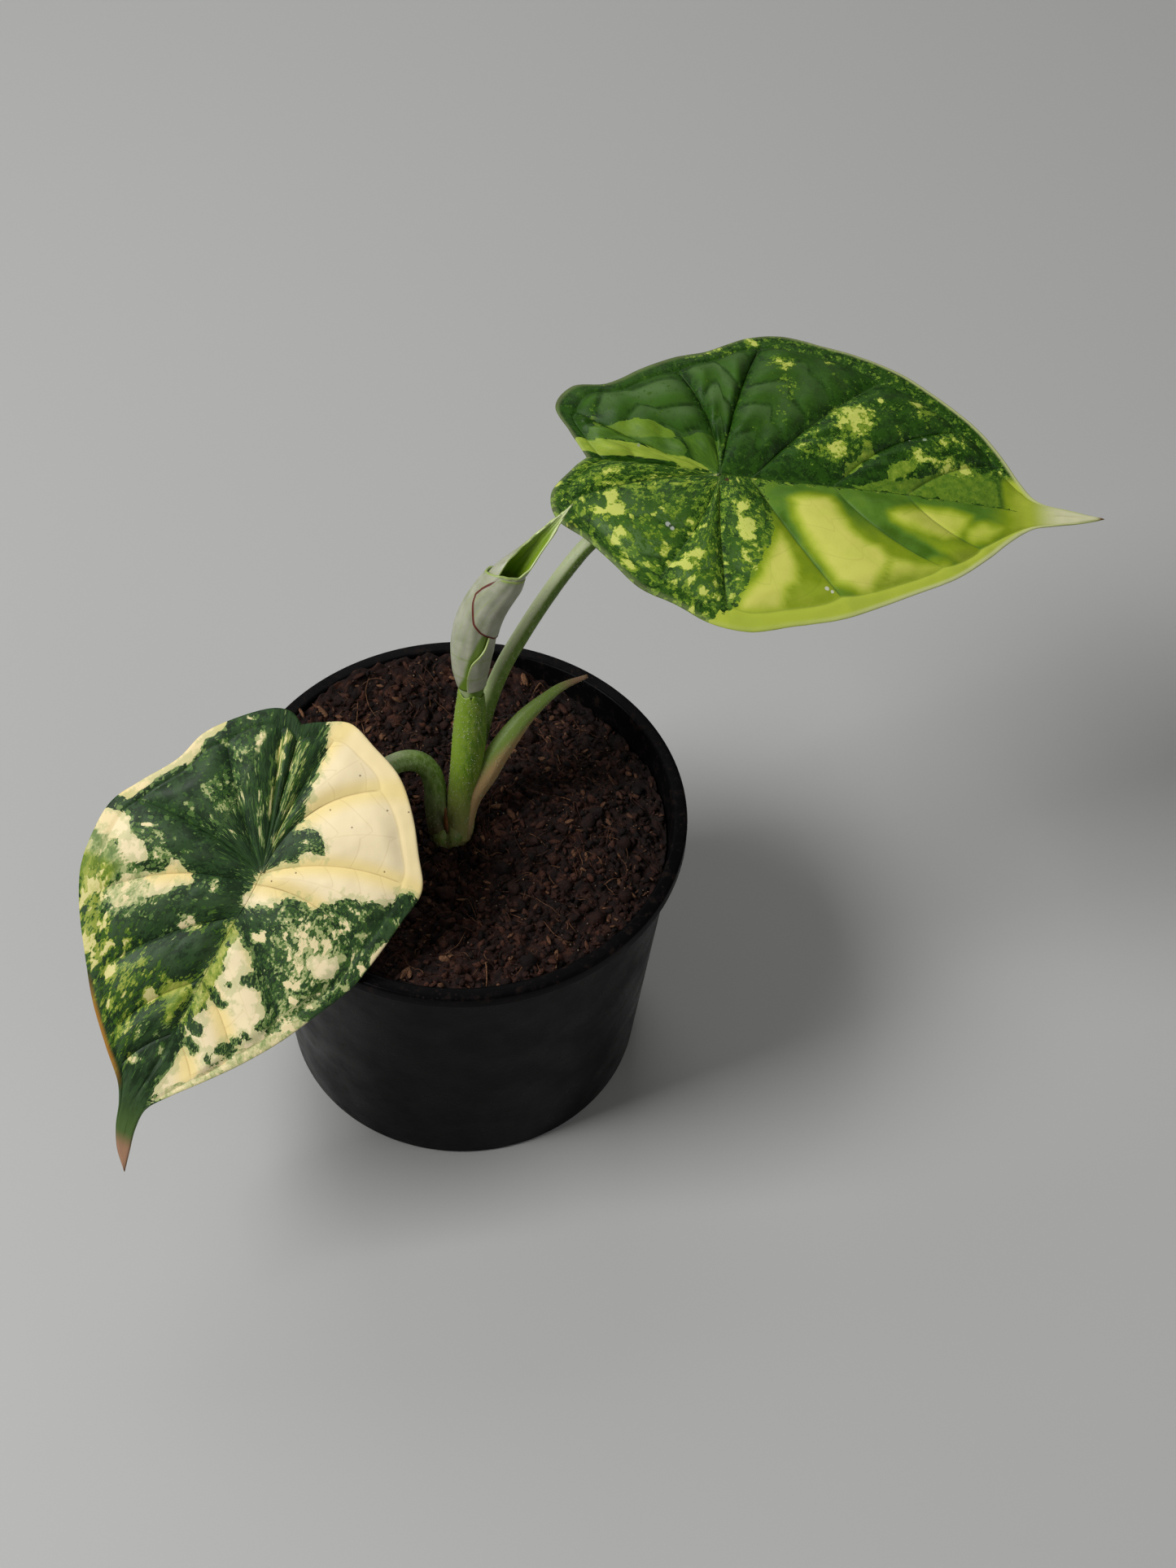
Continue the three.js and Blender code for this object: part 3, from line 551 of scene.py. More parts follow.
def new_group(name, vector, **numbers):
    """A shader node group with one vector input, if it is named, and number inputs with their values. Gives
    the group and its inputs as signals."""
    group = bpy.data.node_groups.new(name, "ShaderNodeTree")
    if vector:
        group.interface.new_socket(vector, in_out="INPUT", socket_type="NodeSocketVector")
    for title, value in numbers.items():
        socket = group.interface.new_socket(title, in_out="INPUT", socket_type="NodeSocketFloat")
        socket.default_value = value
    given = group.nodes.new("NodeGroupInput").outputs
    return group, {socket.name: Signal(socket) for socket in given if socket.name}


def give(group, **results):
    """Makes the group's outputs, each a number wired to its result."""
    for title in results:
        group.interface.new_socket(title, in_out="OUTPUT", socket_type="NodeSocketFloat")
    ends = group.nodes.new("NodeGroupOutput").inputs
    for title, value in results.items():
        feed(ends[title], value)


def grouped(tree, group, **inputs):
    """Adds a node group with its inputs and gives its outputs as signals."""
    node = put(tree, "ShaderNodeGroup", node_tree=group)
    wire(node, **inputs)
    return {socket.name: Signal(socket) for socket in node.outputs}


# The scurf of fine pale granules on every young stalk
scurf, given = new_group("scurf", "Place", Scale=1100.0)
dot = put(scurf, "ShaderNodeTexVoronoi", {"Vector": given["Place"], "Scale": given["Scale"]})
granule = ramp(Signal(dot.outputs["Distance"]), 0.42, 0.16)
chance = made(scurf, "ShaderNodeSeparateColor", 0, {"Color": Signal(dot.outputs["Color"])})
cloud = noise(given["Place"], 160, 4, 0.6)
shown = granule * ramp(chance, 0.35, 0.7)
give(scurf, Granules=shown * ramp(cloud, 0.35, 0.6, 0.25, 1.0), Height=shown + cloud * 0.8, Cloud=cloud)


def living(shader, colour, relief, strength, glow=0.12, tint=(0.6, 1.0, 0.2), **others):
    """Feeds a living skin: its colour, a fine relief, and light that scatters a little way inside it."""
    wire(shader, Base_Color=colour, Normal=bump(relief, strength, SKIN_GRAIN), Subsurface_Weight=glow,
         Subsurface_Scale=SKIN_DEPTH, Subsurface_Radius=tint, **others)


def stalk_finish(name, green, shade, grey, foot, foot_reach, shown=0.5):
    """A scurfy green stalk: its shade colour and green clouded together, greyer on the side facing the key light,
    which is partly its pale waxy coat and partly painted light, reddish at the foot, pale granules over it.
    """
    material, tree, shader, place = new_finish(name)
    along = stored(tree, "along")
    skin = grouped(tree, scurf, Place=place)
    drawn = made(tree, "ShaderNodeVectorMath", 0, {0: place, 1: (1, 1, 0.12)}, operation="MULTIPLY")
    streaks = noise(drawn, 1300, 2) * 0.6 + skin["Cloud"] * 0.4
    # Painted light: the side turned to the key light is greyer, partly the stalk's pale waxy coat and partly painted
    # highlight
    normal = made(tree, "ShaderNodeTexCoord", "Normal")
    facing_light = made(tree, "ShaderNodeVectorMath", "Value", {0: normal, 1: KEY_LIGHT_SIDE}, operation="DOT_PRODUCT")
    lit_side = ramp(facing_light, 0.25, 0.85) * ramp(along, 0.05, 0.6, 0.1, 0.85)
    lit_greyer = mix(lit_side, mix(ramp(streaks, 0.38, 0.62), shade, green), grey)
    footed = mix(ramp(along, foot_reach, 0.0, 0.0, 0.85), lit_greyer, foot)
    living(shader, mix(skin["Granules"] * shown, footed, GRANULE_PALE), skin["Height"], 0.35,
           Roughness=0.5, Specular_IOR_Level=0.4)
    return material


def crown_surface():
    """A swollen stem: its radius goes with height, is widened by three low folds that wind up it, and is
    pinched by a notch at the front that deepens upwards. Gives its grid and the share of its height."""
    turn = np.linspace(0, 2 * np.pi, CROWN_TURNS + 1)[:, None]
    z = np.linspace(0, 1, CROWN_LEVELS)
    radius = CROWN_RADIUS * np.interp(z, [0, 0.2, 0.5, 0.76, 0.92, 1], [0.55, 0.95, 1.05, 1.02, 0.88, 0.5])
    folds = 0.16 * np.sin(3 * turn + 2.2 * z)
    notch = 1.5 * smooth(0.72, 1.0, z) * np.exp(-((np.mod(turn, 2 * np.pi) - CROWN_NOTCH) / 0.24) ** 2)
    r = (radius + folds - notch) * np.minimum(1, (1 - z) * 14 + 0.72)
    level = CROWN_BOTTOM + (CROWN_TOP - CROWN_BOTTOM) * z + 0 * turn
    deep = 1.14 + 0.12 * (np.sin(turn) < 0)
    side = np.stack([CROWN_X - 0.35 + 0.93 * r * np.cos(turn), CROWN_Y + deep * r * np.sin(turn), level], -1)
    foot, head = (np.broadcast_to([CROWN_X, CROWN_Y, height], (len(turn), 1, 3))
                  for height in (CROWN_BOTTOM, CROWN_TOP))
    share = np.concatenate([0 * turn, z + 0 * turn, 0 * turn + 1], 1)
    return np.concatenate([foot, side, head], 1), share


crown_grid, crown_share = crown_surface()
crown = settle(add_mesh("crown_base", *join_grids([crown_grid], along=[0.4 * smooth(0.7, 1.05, crown_share)])),
               stalk_finish("crown_skin", CROWN_GREEN, STALK_SHADE, CROWN_GREEN, BASE_RED, 0.3, 0.3),
               "crown")

# The right leaf's petiole: a slim round stalk with a fine pale scurf, which grew up and leans to the right
# under its blade.
RIGHT_STALK = [(-0.5, -2.4, 88), (0.9, 0.1, 90.5), (1.8, 5.8, 97.6), (3.3, 11.1, 105.6), (6.1, 17.6, 117),
               (9.6, 22.3, 126), (14.2, 26.7, 134), (19.4, 31.2, 142), (25.1, 35.9, 149.5), (31.4, 40.3, 156.2),
               (43.8, 45.8, 164.4), (54, 48.6, 169.2), (61.9, 49.7, 171.6)]
RIGHT_STALK_RADII = [2.9, 2.4, 2.2, 2.15, 2.1, 2.1, 2.0, 1.4]
CAP_RINGS = 3


def spans(points, before, after, share):
    """The four points round each share's span of a row of points, and how far along its span it lies."""
    p = np.concatenate([[before], points, [after]])
    at = np.clip(share, 0, 1) * (len(p) - 3)
    k = np.minimum(at.astype(int), len(p) - 4)
    return p[k], p[k + 1], p[k + 2], p[k + 3], (at - k)[..., None]


def cubic(p1, m1, p2, m2, w):
    """A cubic from one point to another with a slope at each end."""
    return ((2 * w**3 - 3 * w**2 + 1) * p1 + (w**3 - 2 * w**2 + w) * m1 + (3 * w**2 - 2 * w**3) * p2
            + (w**3 - w**2) * m2)


def curve_at(path, share):
    """Points of a smooth curve through the path's points, at shares of the count of its spans: each span is
    a cubic whose slopes weigh its neighbours by the square roots of their lengths."""
    p = np.asarray(path, float)
    p0, p1, p2, p3, w = spans(p, 2 * p[0] - p[1], 2 * p[-1] - p[-2], share)
    root = lambda q, r: np.linalg.norm(q - r, axis=-1, keepdims=True) ** 0.5
    d0, d1, d2 = root(p1, p0), root(p2, p1), root(p3, p2)
    m1 = ((p1 - p0) / d0 - (p2 - p0) / (d0 + d1) + (p2 - p1) / d1) * d1
    m2 = ((p2 - p1) / d1 - (p3 - p1) / (d1 + d2) + (p3 - p2) / d2) * d1
    return cubic(p1, m1, p2, m2, w)


def even_shares(path, steps):
    """Shares of the path's curve that lie evenly far apart along it."""
    fine = np.linspace(0, 1, 600)
    points = curve_at(path, fine)
    length = np.concatenate([[0], np.cumsum(np.linalg.norm(np.diff(points, axis=0), axis=1))])
    return np.interp(np.linspace(0, length[-1], steps + 1), length, fine)


def unit(vectors):
    """Vectors brought to length one."""
    return vectors / np.linalg.norm(vectors, axis=-1, keepdims=True)


def facing(centre, front):
    """For each point of a curve, the way across it to its right and the way across it to the front."""
    ahead = unit(np.gradient(centre, axis=0))
    right = unit(np.cross(ahead, front))
    return right, np.cross(right, ahead)


def spread(values, share):
    """Values at even steps from 0 to 1, read at shares between them."""
    return np.interp(share, np.linspace(0, 1, len(values)), values)


def add_stalk(name, path, radii, sideways, sides=40, steps=110, ridge=0.05):
    """A round tapering stalk: rings square to the path's curve, with low ridges along it, and round ends.
    The sideways direction, square to the bend, sets where each ring starts."""
    centre = curve_at(path, even_shares(path, steps))
    right, front = facing(centre, sideways)
    along = np.linspace(0, 1, steps + 1)
    from_end = np.minimum(along, 1 - along) * steps
    cap = np.sqrt(np.clip(1 - (1 - from_end / CAP_RINGS) ** 2, 0, 1))
    radius = spread(radii, along) * np.where(from_end < CAP_RINGS, cap, 1)
    turn = np.linspace(0, 2 * np.pi, sides + 1)
    turn[-1] = 0
    rib = 1 + ridge * (np.sin(7 * turn + 5 * along[:, None]) * 0.5 + np.sin(3 * turn) * 0.5)
    out = right[:, None] * np.cos(turn)[:, None] + front[:, None] * np.sin(turn)[:, None]
    grid = centre[:, None] + (radius[:, None] * rib)[..., None] * out
    return add_mesh(name, *join_grids([grid.swapaxes(0, 1)], along=[along + 0 * turn[:, None]]))


right_stalk = settle(add_stalk("right_leaf_stalk", RIGHT_STALK, RIGHT_STALK_RADII, (0.75, -0.6, 0.1)),
                     stalk_finish("right_stalk_skin", STALK_GREEN, STALK_SHADE, STALK_COAT_AND_LIT_GREY, STALK_SHADE, 0.2, 0.4),
                     "right_leaf_petiole")

# The left leaf's petiole: a thicker stalk that bends over sharply behind the rim and carries its leaf
# down over the side of the pot.
LEFT_STALK = [(-4.6, -4.6, 88), (-5.3, -4, 90.5), (-6.4, -1, 95), (-7, 1.8, 100.4), (-8.4, 3, 105.6),
              (-11.4, 2.5, 109.6), (-15.5, 0.6, 111.8), (-21.4, -4.4, 112.4), (-30, -13.5, 111), (-41, -26, 108.6),
              (-47.6, -33.7, 107.9)]
LEFT_STALK_RADII = [3.3, 2.95, 2.75, 2.6, 2.45, 2.3, 2.15]
LEFT_GREEN = (0.22, 0.33, 0.09, 1)
left_stalk = settle(add_stalk("left_leaf_stalk", LEFT_STALK, LEFT_STALK_RADII, (-0.65, 0.75, 0.0)),
                    stalk_finish("left_stalk_skin", LEFT_GREEN, STALK_SHADE, STALK_COAT_AND_LIT_GREY, BASE_RED, 0.22, 0.4),
                    "left_leaf_petiole")

# The sheath: the wings of the right petiole's foot, grown to it on the right and closed round the new leaf's
# stalk. They open at the top, where they are a fresher green.
SHEATH_PATH = [(-1.6, -5, 88), (-1, -3.6, 90), (-0.2, 0.6, 98.6), (0.7, 4.2, 107.2), (1.4, 8, 116),
               (1.9, 10.8, 123.2), (2.1, 12.1, 128.1)]
SHEATH_STEPS, SHEATH_COLUMNS = 90, 72
SHEATH_RADII = [3.2, 3.0, 3.1, 3.4, 3.6, 3.6, 3.3]
SHEATH_WALL = 0.7
SHEATH_FRONT = (0.08, -0.85, 0.5)
SHEATH_GREEN = (0.095, 0.2, 0.005, 1)
SHEATH_PALE = (0.2, 0.3, 0.025, 1)
SHEATH_BASE = (0.3, 0.28, 0.09, 1)
DRIED_BROWN = (0.24, 0.085, 0.02, 1)


def thick_sheet(points, faces, values, above, below):
    """A sheet given a wall: one face stands the distance above it along its normal and one the distance
    below, and a narrow band closes them along every open edge. Values on the points go with both faces."""
    corner = points[faces]
    face_normal = np.cross(corner[:, 1] - corner[:, 0], corner[:, 2] - corner[:, 0])
    normal = np.zeros_like(points)
    for k in range(3):
        np.add.at(normal, faces[:, k], face_normal)
    normal = unit(normal)
    count = len(points)
    both = np.concatenate([points + normal * np.reshape(above, (-1, 1)),
                           points - normal * np.reshape(below, (-1, 1))])
    edges = np.concatenate([faces[:, [0, 1]], faces[:, [1, 2]], faces[:, [2, 0]]])
    _, where, times = np.unique(np.sort(edges, 1), axis=0, return_index=True, return_counts=True)
    start, end = edges[where[times == 1]].T
    band = np.concatenate([np.stack([start, start + count, end + count], -1),
                           np.stack([start, end + count, end], -1)])
    doubled = {title: np.concatenate([numbers, numbers]) for title, numbers in values.items()}
    doubled["under"] = np.repeat([0.0, 1.0], count)
    return both, np.concatenate([faces, faces[:, ::-1] + count, band]), doubled


def sheath_sheet():
    """A rolled sheet up the path: its section is an arc that bulges over to the petiole on its right. Near
    the top it stops short at the front by a half-angle that grows from nothing, and its rim rises and falls
    in three waves. Gives its grid and the share of its length."""
    centre = curve_at(SHEATH_PATH, even_shares(SHEATH_PATH, SHEATH_STEPS))
    right, front = facing(centre, SHEATH_FRONT)
    along = np.linspace(0, 1, SHEATH_STEPS + 1)[:, None]
    half_open = 0.12 * smooth(0.97, 1.0, along)
    turn = half_open + np.linspace(0, 1, SHEATH_COLUMNS + 1) * (2 * np.pi - 2 * half_open)
    lip = 0.3 * smooth(0.8, 1.0, along) * (np.cos(turn) > 0) * np.cos(turn) ** 2
    lip = lip + 1.3 * smooth(1.0, 0.6, along) * np.exp(-((turn - np.pi / 2 - 0.4) / 0.6) ** 2)
    out = right[:, None] * np.sin(turn)[..., None] + front[:, None] * np.cos(turn)[..., None]
    torn = 0.45 * np.sin(turn + 3.3) + 0.3 * np.sin(2 * turn + 0.5) + 0.25 * np.sin(5 * turn + 1)
    rise = (1.7 * smooth(0.86, 1, along) * torn)[..., None] * np.cross(front, right)[:, None]
    return centre[:, None] + (spread(SHEATH_RADII, along) + lip)[..., None] * out + rise, along + 0 * turn


sheath_grid, sheath_along = sheath_sheet()
sheath_points, sheath_faces, sheath_values = join_grids([sheath_grid], along=[sheath_along])
half_wall = SHEATH_WALL / 2 * (1 - 0.6 * smooth(0.86, 1, sheath_values["along"]))
sheath = settle(add_mesh("new_leaf_sheath_wings",
                         *thick_sheet(sheath_points, sheath_faces, sheath_values, half_wall, half_wall)),
                stalk_finish("sheath_skin", SHEATH_PALE, SHEATH_GREEN, SHEATH_PALE, SHEATH_BASE, 0.5, 0.25),
                "new_leaf_sheath")

# The dried brown edge of an old leaf base, in the notch between the two stalks
old_edge = add_stalk("dried_leaf_base", [(-3.4, -6.6, 90.6), (-3.5, -5.9, 93), (-3.7, -4.9, 96), (-3.8, -3.9, 99.2)],
                     [0.45, 0.6, 0.5, 0.2], (1, 0, 0), sides=16, steps=30, ridge=0.3)
settle(old_edge, stalk_finish("dried_base_skin", DRIED_BROWN, BASE_RED, DRIED_BROWN, BASE_RED, 0.4, 0.1),
       None)

# The new leaf: a blade still rolled up round its midrib, pale grey-green underside out, with its lime
# upper side showing in the spout at the top. Its own stalk stands inside the sheath.
ROLL_PATH = [(2.1, 12.1, 128.1), (1.6, 13.8, 134.5), (1.9, 15.5, 141), (2.9, 17.3, 147.5), (4.8, 19, 152.7),
             (7.6, 20.8, 157.3), (10.9, 22.4, 161.8), (14.8, 24.4, 165.9), (18.7, 26.6, 170.2), (22.6, 28.8, 174.5),
             (26.2, 31.2, 178.3)]
ROLL_RADII = [3, 4.4, 5.2, 5.3, 5.1, 4.9, 4.6, 3.5, 2.5, 1.6, 0.4]
ROLL_MARGIN = [(-200, 0.45), (-160, 0.6), (-125, 0.7), (-90, 0.8), (-50, 0.92), (0, 1), (60, 0.86), (95, 0.69),
               (130, 0.63), (180, 0.6), (215, 0.57), (245, 0.553), (280, 0.553), (330, 0.57), (380, 0.57),
               (410, 0.54), (430, 0.49), (460, 0.42), (480, 0.38), (487, 0.3), (495, 0.245), (512, 0.21),
               (530, 0.175), (544, 0.11), (552, 0.05)]
ROLL_LOBE = [(350, 0.3, 0.585), (420, 0.27, 0.625), (450, 0.275, 0.628), (470, 0.285, 0.62), (500, 0.31, 0.61),
             (520, 0.325, 0.602), (540, 0.355, 0.59), (555, 0.4, 0.545), (566, 0.43, 0.505), (573, 0.46, 0.465)]
ROLL_OFFSETS = [(-200, -1.25), (0, -0.75), (200, -0.2), (330, -0.05), (420, 0.35), (600, 0.6)]
ROLL_SEAM = [(0.02, 250), (0.1, 196), (0.205, 177), (0.32, 143), (0.4, 122)]
ROLL_RINGS = [0.187, 0.098]
ROLL_FOOT = 0.03
ROLL_THICKNESS = 0.45
ROLL_FRONT = (0, -0.62, 0.78)
ROLL_LENGTH = 62.0
FLAT_RADIUS = 5.0
ROLL_COLUMNS, ROLL_ROWS = 181, 81
LOBE_FROM, LOBE_TURN, LOBE_TO = 350, 530, 573
LOBE_COLUMNS, LOBE_EDGE_COLUMNS, LOBE_ROWS = 47, 44, 61
LOBE_TUCK = 20
ROLL_GREY = (0.29, 0.31, 0.2, 1)
ROLL_PALE = (0.42, 0.425, 0.32, 1)
ROLL_LIME = (0.3, 0.42, 0.05, 1)
ROLL_INSIDE = (0.19, 0.3, 0.013, 1)
ROLL_TIP = (0.66, 0.74, 0.38, 1)
ROLL_RED = (0.11, 0.013, 0.008, 1)
ROLL_BARED = (0.14, 0.23, 0.02, 1)
NEW_STALK = [(1.0, 6.0, 112), (1.5, 8.7, 118), (1.95, 11, 124), (2.1, 12.1, 128.1), (1.75, 13.2, 132)]


def inside(outline, a, b):
    """How far inside a closed outline each point lies, in millimetres, or outside it with a minus: the
    least distance to a side, signed by whether a ray from the point crosses the sides an odd number of times."""
    x, y = a[:, None], b[:, None]
    start = np.array(outline, float)
    end = np.roll(start, -1, 0)
    dx, dy = (end - start).T
    t = np.clip(((x - start[:, 0]) * dx + (y - start[:, 1]) * dy) / (dx * dx + dy * dy), 0, 1)
    far = np.hypot(x - start[:, 0] - t * dx, y - start[:, 1] - t * dy).min(1)
    between = (start[:, 1] > y) != (end[:, 1] > y)
    crossed = between & (x < start[:, 0] + dx * (y - start[:, 1]) / np.where(dy == 0, 1e-9, dy))
    return np.where(crossed.sum(1) % 2 == 1, far, -far)


def wound(share, angle, lift=0.0):
    """Points of the roll: each lies up the roll's curve by its share and round it by its angle, a radius out
    that grows as the sheet winds on over itself."""
    fine = np.linspace(0, 1, 801)
    centre = curve_at(ROLL_PATH, fine)
    look = lambda table: np.stack([np.interp(share, fine, table[:, k]) for k in range(3)], -1)
    right, front = (look(way) for way in facing(centre, ROLL_FRONT))
    radius = spread(ROLL_RADII, share)
    waves = 0.08 * np.sin(0.21 * angle + 9 * share) * smooth(0, 0.3, share)
    offset = np.interp(angle, *np.array(ROLL_OFFSETS, float).T) + lift
    turn = np.radians(angle)[..., None]
    out = (radius + np.minimum(1, radius / 3) * offset + waves)[..., None]
    return look(centre) + out * (right * np.sin(turn) - front * np.cos(turn))


def roll_grids():
    """The wound blade and the lobe of it that lies outermost. Each column runs up the roll from its bottom
    share to its top share. Gives the grids, and their values: share, distance from the top margin, distance
    from the lobe's leading margin on the sheet laid flat, angle, and how far the seam bares the inner turn."""
    turns, tops = np.array(ROLL_MARGIN, float).T
    angle = np.linspace(turns[0], turns[-1], ROLL_COLUMNS) + np.zeros((ROLL_ROWS, 1))
    top = np.interp(angle, turns, tops)
    share = ROLL_FOOT + (top - ROLL_FOOT) * np.linspace(0, 1, ROLL_ROWS)[:, None]
    inner_edge = angle - np.interp(share, *np.array(ROLL_SEAM, float).T)
    bared = smooth(5, -5, inner_edge) * smooth(0.4, 0.34, share)
    main = (wound(share, angle), share, (top - share) * ROLL_LENGTH, 0 * share + 9, angle, bared)
    turns, bottoms, tops = np.array(ROLL_LOBE, float).T
    angle = np.concatenate([np.linspace(LOBE_FROM, LOBE_TURN, LOBE_COLUMNS + 1)[:-1],
                            np.linspace(LOBE_TURN, LOBE_TO, LOBE_EDGE_COLUMNS)]) + np.zeros((LOBE_ROWS, 1))
    low, top = np.interp(angle, turns, bottoms), np.interp(angle, turns, tops)
    share = low + (top - low) * np.linspace(0, 1, LOBE_ROWS)[:, None]
    flat = lambda degrees: np.radians(degrees) * FLAT_RADIUS
    upper = tops * ROLL_LENGTH + 4 * smooth(552, 538, turns)
    outline = np.stack([flat(np.append(turns, turns[::-1])), np.append(bottoms * ROLL_LENGTH, upper[::-1])], -1)
    outline[[0, -1], 0] -= LOBE_TUCK
    lead = inside(outline, flat(angle).ravel(), (share * ROLL_LENGTH).ravel()).reshape(angle.shape)
    sunk = 0.55 * smooth(LOBE_FROM, 400, angle) - 0.25 - 1.0 * smooth(0.55, 0.64, share) * smooth(545, 480, angle)
    sunk = sunk - 0.45 * smooth(LOBE_TURN, 565, angle)
    off_top = (top - share) * ROLL_LENGTH + 3 * smooth(532, 550, angle)
    return main, (wound(share, angle, sunk), share, off_top, lead, angle, 0 * share)


roll_parts = []
for grid, *values in roll_grids():
    named = {title: [numbers.T] for title, numbers in zip(("share", "margin", "lead", "turn", "bared"), values)}
    sheet = join_grids([grid.swapaxes(0, 1)], **named)
    roll_parts.append(thick_sheet(*sheet, ROLL_THICKNESS / 2, ROLL_THICKNESS / 2))
(main_points, main_faces, main_values), (lobe_points, lobe_faces, lobe_values) = roll_parts
new_leaf = add_mesh("new_leaf_rolled_blade", np.concatenate([main_points, lobe_points]),
                    np.concatenate([main_faces, lobe_faces + len(main_points)]),
                    {title: np.append(main_values[title], lobe_values[title]) for title in main_values})

young_skin, tree, shader, place = new_finish("young_blade_skin")
share, margin = stored(tree, "share"), stored(tree, "margin")
rib_wave = (stored(tree, "turn") * 0.24 + share * 40.0).maths("SINE")
grey = mix(ramp(noise(place, 220, 4), 0.3, 0.7), ROLL_GREY, ROLL_PALE)
outside = mix(ramp(share, 0.72, 0.95), mix(ramp(rib_wave, 0.9, 1.0, 0.0, 0.25), grey, ROLL_LIME), ROLL_TIP)
for level in ROLL_RINGS:
    outside = mix(ramp(abs(share - level), 0.006, 0.001, 0.0, 0.4), outside, ROLL_INSIDE)
bare = mix(stored(tree, "bared"), outside, ROLL_BARED)
edged = mix(ramp(margin, 0.8, 0.1, 0.0, 0.8), bare, ROLL_LIME)
lined = mix(ramp(stored(tree, "lead"), 0.66, 0.42), edged, ROLL_RED)
lime = mix(ramp(share, 0.8, 1.0), mix(ramp(margin, 1.0, 4.5), ROLL_TIP, ROLL_INSIDE), ROLL_TIP)
living(shader, mix(stored(tree, "under"), lime, lined), noise(place, 1500, 3), 0.15, 0.15,
       Roughness=0.42, Specular_IOR_Level=0.5)
settle(new_leaf, young_skin, "new_leaf_roll")

new_stalk = add_stalk("new_leaf_stalk", NEW_STALK, [2.2, 2.4, 2.9, 3.15, 3.3], (1, 0, 0), sides=32, steps=40)
settle(new_stalk, stalk_finish("new_stalk_skin", STALK_SHADE, STALK_SHADE, STALK_COAT_AND_LIT_GREY, STALK_SHADE, 0.2, 0.3),
       None)

# The bract: a narrow boat-shaped sheath leaf that once wrapped the shoot, green to pinkish brown, with a
# dry brown tip.
BRACT_PATH = [(1.8, -5.9, 88), (2.1, -4.7, 91), (2.7, -2.2, 95.3), (3.8, -0.1, 99.5), (7, 3.4, 104.6),
              (10, 6.6, 109.7), (13, 9.7, 113.5), (16.6, 13.3, 117), (20.8, 16.8, 119.7), (25.1, 20.3, 121.2),
              (31.7, 23.9, 122.1)]
BRACT_HALF_WIDTHS = [1.2, 1.3, 1.6, 2.4, 3.1, 3.1, 2.8, 2.2, 1.5, 1.0, 0.3]
BRACT_OUTWARDS = (0.35, -0.8, 0.5)
BRACT_WRAP = 1.25
BRACT_GREEN_SIDE = -0.8
BRACT_THICKNESS = 0.5
BRACT_STEPS, BRACT_COLUMNS = 90, 30
BRACT_PINK = (0.44, 0.29, 0.125, 1)
BRACT_GREEN = (0.18, 0.27, 0.045, 1)
BRACT_FOOT = (0.3, 0.23, 0.09, 1)
BRACT_DRY = (0.26, 0.15, 0.085, 1)
BRACT_GRANULE = (0.4, 0.38, 0.25, 1)


def bract_sheet():
    """A boat: up its curve, each section is an arc that bulges outwards and curves in towards the stalk.
    Gives its grid, the share of its length, and how far to its side each point lies, from -1 to 1."""
    share = np.linspace(0, 1, BRACT_STEPS + 1)[:, None]
    centre = curve_at(BRACT_PATH, share[:, 0])
    side, out = facing(centre, BRACT_OUTWARDS)
    turn = BRACT_WRAP * np.linspace(-1, 1, BRACT_COLUMNS + 1)
    radius = spread(BRACT_HALF_WIDTHS, share) / np.sin(BRACT_WRAP) * (1 + 0.03 * np.sin(9 * turn))
    bulge = (np.cos(turn) - np.cos(BRACT_WRAP / 2))[:, None]
    arc = side[:, None] * np.sin(turn)[:, None] + out[:, None] * bulge
    return centre[:, None] + radius[..., None] * arc, share + 0 * turn, turn / BRACT_WRAP + 0 * share


bract_grid, bract_share, bract_side = bract_sheet()
bract_join = join_grids([bract_grid], along=[bract_share], side=[bract_side])
bract = add_mesh("bract_boat", *thick_sheet(*bract_join, BRACT_THICKNESS / 2, BRACT_THICKNESS / 2))
bract_skin, tree, shader, place = new_finish("bract_skin")
along = stored(tree, "along")
skin = grouped(tree, scurf, Place=place)
greener = ramp(along, 0.15, 0.9, -0.55, 0.8) + stored(tree, "side") * BRACT_GREEN_SIDE
body = mix(ramp(greener, -0.15, 0.45), mix(ramp(along, 0.24, 0.02), BRACT_PINK, BRACT_FOOT), BRACT_GREEN)
dry = mix(ramp(along, 0.86, 0.97), body, BRACT_DRY)
living(shader, mix(skin["Granules"] * 0.3, dry, BRACT_GRANULE), skin["Height"], 0.3, 0.1, (0.8, 0.8, 0.2),
       Roughness=0.5, Specular_IOR_Level=0.4)
settle(bract, bract_skin, "bract")

# The scurf that stands out from the stalks' skins: pale grains that catch the light along their outlines.
SCURF_SEED = 5
SCURF_FROM = 87
SCURF_LIFT = 0.04
SCURF_GRAINS = [(right_stalk, 2500), (left_stalk, 1400), (sheath, 2300), (crown, 400), (bract, 700)]
SCURF_PALE = (0.5, 0.54, 0.36, 1)
SCURF_GREEN = (0.27, 0.34, 0.13, 1)


def grains_on(piece, count, draw):
    """Random places on a piece's faces, each face as likely as it is large, on its outer side."""
    mesh = piece.data
    mesh.calc_loop_triangles()
    co = np.empty(len(mesh.vertices) * 3)
    mesh.vertices.foreach_get("co", co)
    triangles = np.empty(len(mesh.loop_triangles) * 3, np.int32)
    mesh.loop_triangles.foreach_get("vertices", triangles)
    corner = co.reshape(-1, 3)[triangles.reshape(-1, 3)] / MM
    normal = np.cross(corner[:, 1] - corner[:, 0], corner[:, 2] - corner[:, 0])
    area = np.linalg.norm(normal, axis=1) * (corner[:, 0, 2] > SCURF_FROM)
    chosen = draw.choice(len(area), count, p=area / area.sum())
    share = draw.dirichlet([1, 1, 1], count)
    return (corner[chosen] * share[..., None]).sum(1) + SCURF_LIFT * unit(normal[chosen])


